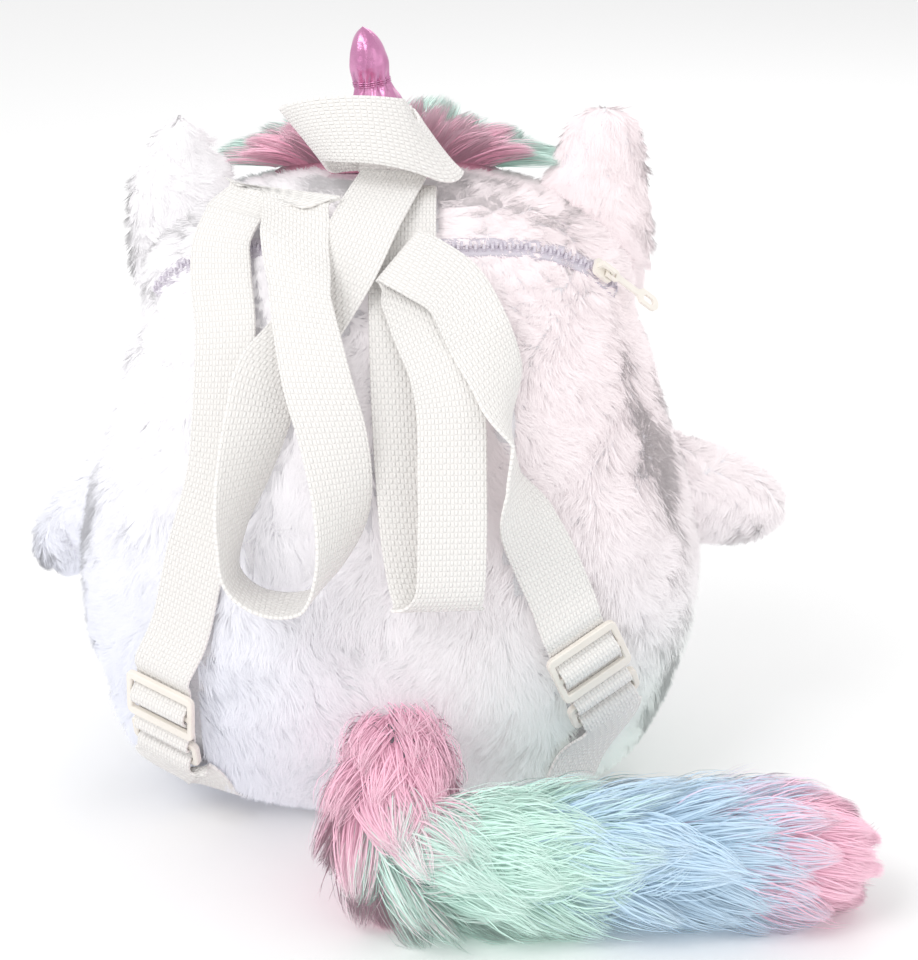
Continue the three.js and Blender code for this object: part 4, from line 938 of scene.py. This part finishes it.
def build_mane(settings):
    """The mane: fibres on the crown behind the horn, fanned to both sides, in pink with mint beyond."""
    dice = np.random.default_rng(71)
    count = settings.mane_hairs // 1
    half, deep, forward = 44.0, 11.0, 17.0
    angle = np.linspace(0, 2 * math.pi, 48, endpoint=False)

    def mound(turn, share):
        x = np.cos(turn) * (half + 3) * np.cos(share * math.pi / 2)
        y = forward + np.sin(turn) * (deep + 1.5) * np.cos(share * math.pi / 2)
        foot = crown(x, y)
        return foot + np.stack([x * 0, x * 0, -3 + 8.5 * np.sin(share * math.pi / 2)], axis=-1)

    top = crown(0.0, forward) + [0, 0, 5.4]
    cushion("mane_backing", mound, angle, np.linspace(0, 0.97, 14), (crown(0.0, forward) - [0, 0, 4], top),
            ["mane"], "mane_ground", "mane_fur")
    at = np.sign(dice.uniform(-1, 1, count)) * dice.random(count) ** 0.8
    depth = dice.uniform(-1, 1, count)
    root = crown(at * half, forward + depth * deep * np.sqrt(1 - 0.8 * at ** 2)) + [0, 0, 1.5]
    rise = 1.55 - 1.0 * np.abs(at)
    aim = unit(np.stack([1.15 * at + 0.22 * dice.normal(size=count),
                         -0.25 + 0.55 * depth + 0.2 * dice.normal(size=count),
                         rise + 0.15 * dice.normal(size=count)], axis=-1))
    horn = np.hypot(root[:, 0] - 1, root[:, 1] - 30) < 13
    aim[horn, 2] *= 0.4
    aim = unit(aim)
    tall = 1 + 0.2 * np.exp(-((at - 0.22) / 0.14) ** 2)
    long = settings.mane_hair / MM * dice.uniform(0.6, 1.05, count) * tall
    pull, member = tuft(root, aim, long, 9.0, 0.8, 72)
    bend = pull + np.stack([4.0 * at, 0 * at, -4.0 - 4.0 * np.abs(at)], axis=-1)
    normal = unit(np.stack([0.5 * at, 0.3 * depth, np.ones(count)], axis=-1))
    pink, mint = srgb(255, 180, 208), srgb(205, 245, 231)
    patch = depth - 0.15 + 0.5 * swell(root, 34, 8) + 3.0 * np.maximum(np.abs(at) - 0.6, 0)
    minty = 1 / (1 + np.exp(-(patch + 0.12 * dice.normal(size=count)) / 0.05))
    colour = pink * (1 - minty[:, None]) + mint * minty[:, None]
    colour = colour * (0.88 + 0.12 * member)[:, None]
    width = dice.uniform(0.5, 0.9, count) * 1.0
    long_hairs("mane_fur", root, normal, aim, long, bend, width, colour, dice, "mane_fur", floor=240.0)


# Places along each strap: shares across and up the back, lift in millimetres, and the line across the webbing
STRAP_ROUTES = {
    "left": np.array([
        [0.03, 0.99, 5.6, -0.9, 0, 0.45],
        [-0.045, 0.945, 7.6, -0.87, 0, 0.5],
        [-0.12, 0.888, 8.0, -0.87, 0, 0.5],
        [-0.236, 0.81, 3.6, -0.87, 0, 0.5],
        [-0.325, 0.751, 4.5, -0.86, -0.1, 0.5],
        [-0.35, 0.694, 8.5, -0.93, -0.37, 0.1],
        [-0.385, 0.61, 11.5, -0.7, -0.7, 0],
        [-0.415, 0.535, 14.2, -0.35, -0.94, 0],
        [-0.415, 0.478, 14.8, -0.1, -1, 0],
        [-0.337, 0.447, 14.8, 0, -1, 0],
        [-0.215, 0.455, 14.8, -0.15, -1, 0],
        [-0.13, 0.52, 14.8, -0.5, -0.85, 0],
        [-0.11, 0.588, 14, -0.8, -0.6, 0],
        [-0.135, 0.674, 12.5, -0.97, -0.2, 0],
        [-0.18, 0.751, 13, -1, 0.1, 0],
        [-0.232, 0.851, 13.5, -0.8, 0.55, 0],
        [-0.25, 0.91, 10.5, -0.8, 0.4, 0.3],
        [-0.256, 0.945, 8.4, -0.85, 0, 0.52],
        [-0.268, 0.962, 8.0, -0.85, 0, 0.52],
        [-0.29, 0.962, 9.0, -0.8, 0, 0.6],
        [-0.35, 0.96, 8.0, -0.6, 0, 0.8],
        [-0.43, 0.945, 6.0, -0.72, 0, 0.66],
        [-0.48, 0.92, 3.5, -0.87, 0, 0.45],
        [-0.488, 0.88, 1.6, -0.97, 0, 0.1],
        [-0.47, 0.809, 1.6, -1, 0, 0],
        [-0.481, 0.687, 1.6, -1, 0, 0.02],
        [-0.5, 0.601, 1.6, -0.97, 0, 0.15],
        [-0.569, 0.479, 1.8, -0.96, 0, 0.22],
        [-0.625, 0.36, 3.0, -0.93, 0, 0.24],
    ]),
    "right": np.array([
        [0.055, 0.985, 1.4, -1, 0, 0],
        [0.055, 0.942, 1.4, -1, 0, 0],
        [0.057, 0.87, 1.5, -1, 0, 0],
        [0.062, 0.793, 1.5, -1, 0, 0],
        [0.07, 0.699, 2.5, -1, 0, 0],
        [0.082, 0.602, 4, -1, 0, 0],
        [0.098, 0.518, 6, -1, 0, 0],
        [0.122, 0.463, 8.7, -1, 0, 0],
        [0.155, 0.438, 13, -1, 0, 0],
        [0.182, 0.46, 17, -1, 0, 0],
        [0.191, 0.54, 17.5, -1, 0, 0],
        [0.191, 0.635, 16, -1, 0, 0],
        [0.19, 0.712, 12.5, -1, 0, -0.05],
        [0.17, 0.766, 8.5, -0.9, 0, -0.42],
        [0.125, 0.818, 5.2, -0.82, 0, -0.57],
        [0.088, 0.862, 4.7, -0.7, 0, -0.72],
        [0.062, 0.898, 4.7, -0.53, 0, -0.85],
        [0.044, 0.906, 6.1, -0.53, 0, -0.85],
        [0.062, 0.902, 7.5, -0.53, 0, -0.85],
        [0.12, 0.89, 8.4, -0.4, 0, -0.92],
        [0.2, 0.862, 8.6, -0.55, 0, -0.83],
        [0.275, 0.803, 8.8, -0.83, 0, -0.55],
        [0.33, 0.74, 10.5, -0.55, -0.75, -0.35],
        [0.35, 0.675, 13.5, 0.05, -1, 0],
        [0.36, 0.61, 13.2, -0.2, -0.98, 0],
        [0.41, 0.55, 7.5, -0.75, -0.6, -0.3],
        [0.48, 0.484, 2.6, -0.9, 0, -0.33],
        [0.53, 0.421, 3.4, -0.86, 0, -0.4],
    ]),
}

# Each adjuster's place on the back, and its turn in degrees outwards from straight down
ADJUSTERS = {"left": (-0.677, 0.241, -14), "right": (0.601, 0.324, 27)}
ANCHOR_ROUTES = {
    "left": np.array([[-0.6, 0.095, 2.4], [-0.56, 0.06, 1.6], [-0.53, 0.04, 1.4]]),
    "right": np.array([[0.61, 0.14, 2.4], [0.58, 0.09, 1.4], [0.55, 0.05, 1.2]]),
}

# Shares of the handle's span, depth and rise, then the line across the webbing
HANDLE_ROUTE = np.array([
    [0.15, 0.0, 0.0, 0, 0, 1], [-0.14, 0.0, 0.0, 0, 0, 1], [-0.34, 0.08, 0.0, -0.3, 0, 0.95],
    [-0.47, 0.42, 0.35, -0.62, 0, 0.78], [-0.37, 0.84, 0.75, -0.45, 0, 0.9], [-0.08, 1.04, 0.9, -0.1, 0, 1],
    [0.16, 0.95, 0.6, -0.25, 0, 0.97], [0.3, 0.6, 0.0, -0.72, 0, 0.7], [0.27, 0.2, 0.0, -0.5, 0, 0.85],
    [0.1, 0.09, 0.0, 0, 0, 1], [-0.16, 0.08, 0.0, 0, 0, 1],
])
HANDLE_SPAN, HANDLE_DEPTH, HANDLE_RISE, HANDLE_BACK = 66.0, 33.0, 11.0, 7.0

WEBBING_WIDTH, WEBBING_THICK = 25.0, 1.3
WEAVE_LONG, WEAVE_WIDE = 2.05, 1.35
SLIDER_LENGTH, LONG_BAR, MIDDLE_BAR, BAR_THICK = 22.0, 3.6, 2.4, 2.4
RING_BAR, RING_PITCH, RING_OUT, RING_DROP, RING_LIFT = 1.4, 10.0, 16.6, -2.4, 4.4
SLIDER_LIFT, RETURN_DEPTH, HEM = 7.0, -4.4, 6.0
PASS_HEIGHT = BAR_THICK / 2 + 0.45 + WEBBING_THICK / 2
TURN_RADIUS = RING_BAR + 0.8 + WEBBING_THICK / 2


def route(rows):
    """Points and lines across from a table on the back. A line without depth is laid flat to the skin."""
    points, normal = on_back(rows[:, 0], rows[:, 1], rows[:, 2])
    across = rows[:, 3:6].astype(float)
    flat = across[:, 1] == 0
    across[flat] -= normal[flat] * dot(across[flat], normal[flat])
    return points, across


def adjuster_frame(place, height, turn):
    """Where an adjuster sits: its middle, and unit vectors along it, out of it and across it."""
    origin, normal = (v[0] for v in on_back([place], [height], [SLIDER_LIFT]))
    down = np.array([0.0, 0.0, -1.0])
    fall = unit(down - normal * (down @ normal))
    angle = math.radians(turn)
    fall = fall * math.cos(angle) + np.cross(normal, fall) * math.sin(angle)
    return origin, fall, normal, np.cross(fall, normal)


def thread_controls(place):
    """The webbing's way through the adjuster, round the ring's upper bar and back behind the middle bar."""
    origin, fall, normal, side = place
    half = SLIDER_LENGTH / 2
    inner = half - LONG_BAR
    over = (MIDDLE_BAR + 0.5) / 2
    slope = (inner + over) / 2
    way = [
        [-half - 6, 1.2 - PASS_HEIGHT], [-half - 0.5, -PASS_HEIGHT], [-inner + 0.5, -PASS_HEIGHT], [-slope, 0],
        [-over, PASS_HEIGHT], [over, PASS_HEIGHT], [slope, 0], [inner - 0.5, -PASS_HEIGHT], [half, -PASS_HEIGHT],
    ]
    turns = np.radians([-40, 0, 45, 90, 135, 180])
    way += [[RING_OUT + TURN_RADIUS * math.sin(a), RING_DROP + TURN_RADIUS * math.cos(a)] for a in turns]
    way = np.array(way + [[half, RETURN_DEPTH], [inner / 2, RETURN_DEPTH], [0, RETURN_DEPTH]])
    return origin + fall * way[:, :1] + normal * way[:, 1:], np.repeat(side[None], len(way), axis=0)


def ring_frame(place):
    """The ring hangs from its upper bar, swung in until its lower bar meets the skin, found by halving."""
    origin, fall, normal, side = place
    upper = origin + fall * RING_OUT + normal * RING_DROP
    low, high = 0.0, math.pi / 2
    for _ in range(30):
        tilt = (low + high) / 2
        if clearance(upper + (fall * math.cos(tilt) - normal * math.sin(tilt)) * RING_PITCH) > RING_LIFT:
            low = tilt
        else:
            high = tilt
    swung = fall * math.cos(low) - normal * math.sin(low)
    return upper + swung * RING_PITCH / 2, swung, np.cross(side, swung), side


def anchor_controls(ring, rows):
    """The lower webbing: hooked round the ring's lower bar, then down to the bottom seam."""
    origin, fall, normal, side = ring
    turns = np.radians([180, 225, 270, 315, 360])
    way = [[HEM, -TURN_RADIUS], [HEM / 3, -TURN_RADIUS]]
    way += [[TURN_RADIUS * math.sin(a), TURN_RADIUS * math.cos(a)] for a in turns]
    way = np.array(way + [[HEM, TURN_RADIUS - 0.5]])
    bar = origin + fall * RING_PITCH / 2
    points = bar + fall * way[:, :1] + normal * way[:, 1:]
    lines = np.repeat(side[None], len(way), axis=0)
    ahead, out = on_back(rows[:, 0], rows[:, 1], rows[:, 2])
    for point, skin in zip(ahead, out):
        lines = np.vstack([lines, unit(np.cross(point - points[-1], skin))])
        points = np.vstack([points, point])
    return points, lines


def drape(points, lines, fixed, steps):
    """Eased stations between the rows. Those not held are lifted until the webbing clears the skin."""
    path = spline(points, steps)
    at = np.linspace(0, len(points) - 1, len(path))
    across = np.stack([np.interp(at, np.arange(len(points)), lines[:, k]) for k in range(3)], axis=-1)
    loose = ~np.asarray(fixed)[np.minimum(at.astype(int), len(points) - 1)]
    edge = unit(across) * WEBBING_WIDTH / 2
    near = np.minimum(np.minimum(clearance(path), clearance(path + edge)), clearance(path - edge))
    short = np.maximum(WEBBING_THICK / 2 + 0.9 - near, 0) * loose
    height = np.clip(path[:, 2] / BODY_HEIGHT, 0.002, 0.998)
    _, normal = on_back(path[:, 0] / BODY_HALF, height, np.zeros(len(path)))
    for _ in range(3):
        eased = np.convolve(np.pad(short, 2, mode="edge"), np.ones(5) / 5, mode="valid")
        short = np.maximum(short, eased * loose)
    return path + normal * short[:, None], across


def webbing(name, path, across, replaces):
    """Flat webbing: a rounded section swept along a path, turned to the line across it at every station."""
    along = unit(np.gradient(path, axis=0))
    across = unit(across)
    face = np.cross(across, along)
    slant = np.maximum(np.linalg.norm(face, axis=1), 0.6)
    face = unit(face)
    half, thick = WEBBING_WIDTH / 2, WEBBING_THICK / 2
    width = np.linspace(-1, 1, 15)
    bead = np.sin(np.linspace(0, math.pi, 5))[1:-1] * thick * 0.6
    level = np.cos(np.linspace(0, math.pi, 5))[1:-1] * thick
    flat = half - 0.4
    u = np.concatenate([width * flat, flat + bead, width[::-1] * flat, 0.4 - half - bead])
    v = np.concatenate([np.full(15, thick), level, np.full(15, -thick), -level])
    spread = (u[None] / slant[:, None])[..., None]
    rings = path[:, None] + across[:, None] * spread + face[:, None] * v[None, :, None]
    run = np.concatenate([[0], np.cumsum(np.linalg.norm(np.diff(path, axis=0), axis=1))])
    cells = np.stack(np.broadcast_arrays(run[:, None] / WEAVE_LONG, u[None] / WEAVE_WIDE), axis=-1)
    cells = cells.reshape(-1, 2) + 40.5
    points, faces = closed_skin(rings, path[0], path[-1])
    cells = np.vstack([cells, [cells[0], cells[-1]]])
    return new_piece(name, points, outward(points, faces), FINISHES["webbing"], replaces, "webbing", uv=cells)


def webbing_paths():
    """The stations of both straps and of their lower ends: left strap, left end, right strap, right end."""
    found = []
    for side in ("left", "right"):
        place = adjuster_frame(*ADJUSTERS[side])
        points, lines = route(STRAP_ROUTES[side])
        more, sides = thread_controls(place)
        fixed = [False] * len(points) + [True] * len(more)
        found.append(drape(np.vstack([points, more]), np.vstack([lines, sides]), fixed, 8))
        points, lines = anchor_controls(ring_frame(place), ANCHOR_ROUTES[side])
        found.append(drape(points, lines, [True] * 8 + [False] * (len(points) - 8), 8))
    return found


def build_webbing():
    """Both shoulder straps with their lower ends, and the loop handle on the crown."""
    nodes = ("strap_left", "anchor_left", "strap_right", "anchor_right")
    for node, (path, across) in zip(nodes, webbing_paths()):
        webbing(f"{node}_webbing", path, across, [node])
    seat = crown(0.0, -HANDLE_BACK)[2] + 0.3 + WEBBING_WIDTH / 2
    points = HANDLE_ROUTE[:, :3] * [HANDLE_SPAN, -HANDLE_DEPTH, HANDLE_RISE] + [0, -HANDLE_BACK, seat]
    path, across = drape(points, HANDLE_ROUTE[:, 3:].astype(float), [True] * len(points), 10)
    webbing("handle_webbing", path, across, ["handle_loop"])


ZIP_TAPE, ZIP_TAPE_THICK, ZIP_SET_BACK, ZIP_END = 8.0, 1.4, 2.3, 0.985
TOOTH_PITCH, TOOTH_RISE, TOOTH_ASIDE, TOOTH_TAPER = 1.6, 0.7, 0.7, 0.75
TOOTH_HALVES = (0.55, 1.4, 0.75)


def build_zip():
    """The zip in the body's slot: a ribbed tape with two rows of teeth that mesh along its middle."""
    at = np.linspace(-ZIP_END, ZIP_END, 121)
    path, normal = on_back(*zip_line(at), np.full(len(at), -ZIP_SET_BACK))
    along = unit(np.gradient(path, axis=0))
    across = unit(np.cross(along, normal))
    up = np.cross(across, along)
    half, thick = ZIP_TAPE / 2, ZIP_TAPE_THICK / 2
    u = np.concatenate([np.linspace(-half, half, 9), np.linspace(half, -half, 9)])
    v = np.concatenate([np.full(9, thick), np.full(9, -thick)])
    rings = path[:, None] + across[:, None] * u[None, :, None] + up[:, None] * v[None, :, None]
    run = np.concatenate([[0], np.cumsum(np.linalg.norm(np.diff(path, axis=0), axis=1))])
    cells = np.stack(np.broadcast_arrays(run[:, None], u[None]), axis=-1).reshape(-1, 2)
    points, faces = closed_skin(rings, path[0], path[-1])
    new_piece("zip_tape_cloth", points, outward(points, faces), FINISHES["tape"], ["zip_tape"], "zip",
              uv=np.vstack([cells, [cells[0], cells[-1]]]))

    count = int(run[-1] / TOOTH_PITCH)
    reach = (np.arange(count) + 0.5) * TOOTH_PITCH
    spot = np.stack([np.interp(reach, run, path[:, k]) for k in range(3)], axis=-1)
    ways = [np.stack([np.interp(reach, run, w[:, k]) for k in range(3)], axis=-1) for w in (along, across, up)]
    hand = np.where(np.arange(count) % 2 == 0, 1.0, -1.0)[:, None]
    middle = spot + ways[1] * hand * TOOTH_ASIDE + ways[2] * (thick + TOOTH_RISE)
    corners = np.array([[x, y, z] for z in (-1, 1) for x, y in ((-1, -1), (1, -1), (1, 1), (-1, 1))], float)
    corners[corners[:, 2] > 0, :2] *= TOOTH_TAPER
    corners *= TOOTH_HALVES
    boxes = middle[:, None] + sum(ways[k][:, None] * corners[None, :, k:k + 1] for k in range(3))
    sides = np.array([[3, 2, 1, 0], [4, 5, 6, 7], [0, 1, 5, 4], [1, 2, 6, 5], [2, 3, 7, 6], [3, 0, 4, 7]])
    quads = (np.arange(count)[:, None, None] * 8 + sides[None]).reshape(-1, 4)
    teeth = new_piece("zip_teeth", boxes.reshape(-1, 3), outward(boxes.reshape(-1, 3), [quads]),
                      FINISHES["tape"], slot="zip", uv=boxes.reshape(-1, 3)[:, :2])
    teeth.data.polygons.foreach_set("use_smooth", np.zeros(len(quads), bool))


def build_plastic():
    """Finishes for the moulded parts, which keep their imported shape."""
    for name in ("slider_left", "slider_right", "ring_left", "ring_right", "zip_slider", "zip_pull"):
        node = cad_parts[name]
        node.data.materials.clear()
        node.data.materials.append(FINISHES["plastic"])


# Camera of the photograph: place in metres, tilt from straight down, and lens in millimetres
CAMERA_PLACE = (0.0276, -0.9455, 0.4506)
CAMERA_TILT = 71.0
CAMERA_LENS = 93.75
FLOOR_HALF = 6.0


def build_stage(settings):
    """A wide pale floor, a soft key from the upper left, a weak fill, a rim, an even sky, and the camera."""
    scene = bpy.context.scene
    half = FLOOR_HALF
    mesh = bpy.data.meshes.new("floor")
    corners = [(-half, -half, 0), (half, -half, 0), (half, half, 0), (-half, half, 0)]
    mesh.from_pydata(corners, [], [(0, 1, 2, 3)])
    floor = bpy.data.objects.new("floor", mesh)
    finish = Finish("studio_floor", roughness=0.9)
    finish.colour((*settings.floor, 1.0))
    mesh.materials.append(finish.material)
    scene.collection.objects.link(floor)
    for name, place, aim, size, power in (
        ("key", (-0.9, -1.0, 1.5), (0, 0, 0.1), 0.9, settings.key),
        ("fill", (1.4, -0.9, 0.8), (0, 0, 0.1), 1.2, settings.key * 0.22),
        ("rim", (0.5, 1.3, 1.2), (0, 0, 0.15), 0.9, settings.key * 0.35),
    ):
        lamp = bpy.data.lights.new(name, "AREA")
        lamp.size, lamp.energy = size, power
        light = bpy.data.objects.new(name, lamp)
        light.location = place
        light.rotation_mode = "QUATERNION"
        light.rotation_quaternion = (Vector(aim) - Vector(place)).to_track_quat("-Z", "Y")
        scene.collection.objects.link(light)
    world = bpy.data.worlds.new("studio")
    scene.world = world
    world.use_nodes = True
    sky = world.node_tree.nodes["Background"].inputs
    sky["Color"].default_value = (1.0, 1.0, 1.0, 1.0)
    sky["Strength"].default_value = settings.sky
    camera = bpy.data.objects.new("camera", bpy.data.cameras.new("camera"))
    camera.location = CAMERA_PLACE
    camera.rotation_euler = (math.radians(CAMERA_TILT), 0, 0)
    camera.data.lens, camera.data.sensor_width = CAMERA_LENS, 36.0
    scene.collection.objects.link(camera)
    scene.camera = camera
    scene.view_settings.view_transform = "Standard"


class BackpackPile(bpy.types.PropertyGroup):
    """Sizes of the short pile on the body, ears and arms."""

    pile_length: FloatProperty(name="Pile length", description="Length of the body's hairs", default=0.009,
                               unit="LENGTH", subtype="DISTANCE")
    pile_depth: FloatProperty(name="Pile depth", description="How deep the cloth lies under the pile's surface",
                              default=0.003, unit="LENGTH", subtype="DISTANCE")
    pile_hairs: IntProperty(name="Body hairs", description="Hairs on each third of the body", default=124000)
    limb_hairs: IntProperty(name="Limb hairs", description="Hairs on each ear and arm", default=22000)


class BackpackFur(bpy.types.PropertyGroup):
    """Sizes of the long fur of the mane and tail."""

    mane_hair: FloatProperty(name="Mane hair", description="Length of the mane's fibres", default=0.033,
                             unit="LENGTH", subtype="DISTANCE")
    mane_hairs: IntProperty(name="Mane fibres", description="Fibres in the mane", default=13000)
    tail_hair: FloatProperty(name="Tail hair", description="Length of the tail's fibres", default=0.04,
                             unit="LENGTH", subtype="DISTANCE")
    tail_hairs: IntProperty(name="Tail fibres", description="Fibres in each piece of the tail", default=16000)
    tail_pieces: IntProperty(name="Tail pieces", description="Pieces that share the tail's fibres", default=2)


class BackpackStudio(bpy.types.PropertyGroup):
    """The floor and the light."""

    floor: FloatVectorProperty(name="Floor", description="Colour of the floor", default=(0.95, 0.95, 0.95),
                               subtype="COLOR")
    key: FloatProperty(name="Key light", description="Power of the soft key light", default=10.6, unit="POWER")
    sky: FloatProperty(name="Sky", description="Strength of the even light from all round", default=0.9)


class BACKPACK_OT_body(bpy.types.Operator):
    """Build the plush body and its pile"""

    bl_idname = "backpack.body"
    bl_label = "Body"

    def execute(self, context):
        build_body(context.scene.backpack_pile)
        return {"FINISHED"}


class BACKPACK_OT_limbs(bpy.types.Operator):
    """Build the ears and arms"""

    bl_idname = "backpack.limbs"
    bl_label = "Ears and arms"

    def execute(self, context):
        build_limbs(context.scene.backpack_pile)
        return {"FINISHED"}


class BACKPACK_OT_horn(bpy.types.Operator):
    """Build the foil horn"""

    bl_idname = "backpack.horn"
    bl_label = "Horn"

    def execute(self, context):
        build_horn()
        return {"FINISHED"}


class BACKPACK_OT_mane(bpy.types.Operator):
    """Build the mane"""

    bl_idname = "backpack.mane"
    bl_label = "Mane"

    def execute(self, context):
        build_mane(context.scene.backpack_fur)
        return {"FINISHED"}


class BACKPACK_OT_tail(bpy.types.Operator):
    """Build the tail"""

    bl_idname = "backpack.tail"
    bl_label = "Tail"

    def execute(self, context):
        build_tail(context.scene.backpack_fur)
        return {"FINISHED"}


class BACKPACK_OT_zip(bpy.types.Operator):
    """Build the zip's tape and teeth"""

    bl_idname = "backpack.zip"
    bl_label = "Zip"

    def execute(self, context):
        build_zip()
        return {"FINISHED"}


class BACKPACK_OT_webbing(bpy.types.Operator):
    """Build the straps, their lower ends and the handle"""

    bl_idname = "backpack.webbing"
    bl_label = "Webbing"

    def execute(self, context):
        build_webbing()
        return {"FINISHED"}


class BACKPACK_OT_plastic(bpy.types.Operator):
    """Finish the adjusters, the rings and the zip's slider and pull"""

    bl_idname = "backpack.plastic"
    bl_label = "Plastic parts"

    def execute(self, context):
        build_plastic()
        return {"FINISHED"}


class BACKPACK_OT_stage(bpy.types.Operator):
    """Set the floor, the lights and the camera"""

    bl_idname = "backpack.stage"
    bl_label = "Stage"

    def execute(self, context):
        build_stage(context.scene.backpack_studio)
        return {"FINISHED"}


OPERATORS = (
    BACKPACK_OT_body, BACKPACK_OT_limbs, BACKPACK_OT_horn, BACKPACK_OT_mane, BACKPACK_OT_tail, BACKPACK_OT_zip,
    BACKPACK_OT_webbing, BACKPACK_OT_plastic, BACKPACK_OT_stage,
)


class BACKPACK_PT_panel(bpy.types.Panel):
    """Lists the sizes and the pieces"""

    bl_label = "Backpack"
    bl_space_type = "VIEW_3D"
    bl_region_type = "UI"
    bl_category = "Backpack"

    def draw(self, context):
        scene = context.scene
        for group in (scene.backpack_pile, scene.backpack_fur, scene.backpack_studio):
            for name in group.__annotations__:
                self.layout.prop(group, name)
        for operator in OPERATORS:
            self.layout.operator(operator.bl_idname)


CLASSES = (BackpackPile, BackpackFur, BackpackStudio, *OPERATORS, BACKPACK_PT_panel)


def register():
    for cls in CLASSES:
        bpy.utils.register_class(cls)
    bpy.types.Scene.backpack_pile = PointerProperty(type=BackpackPile)
    bpy.types.Scene.backpack_fur = PointerProperty(type=BackpackFur)
    bpy.types.Scene.backpack_studio = PointerProperty(type=BackpackStudio)


def unregister():
    del bpy.types.Scene.backpack_studio, bpy.types.Scene.backpack_fur, bpy.types.Scene.backpack_pile
    for cls in reversed(CLASSES):
        bpy.utils.unregister_class(cls)


def main():
    register()
    finishes()
    for operator in OPERATORS:
        group, name = operator.bl_idname.split(".")
        getattr(getattr(bpy.ops, group), name)()


if __name__ == "__main__":
    main()
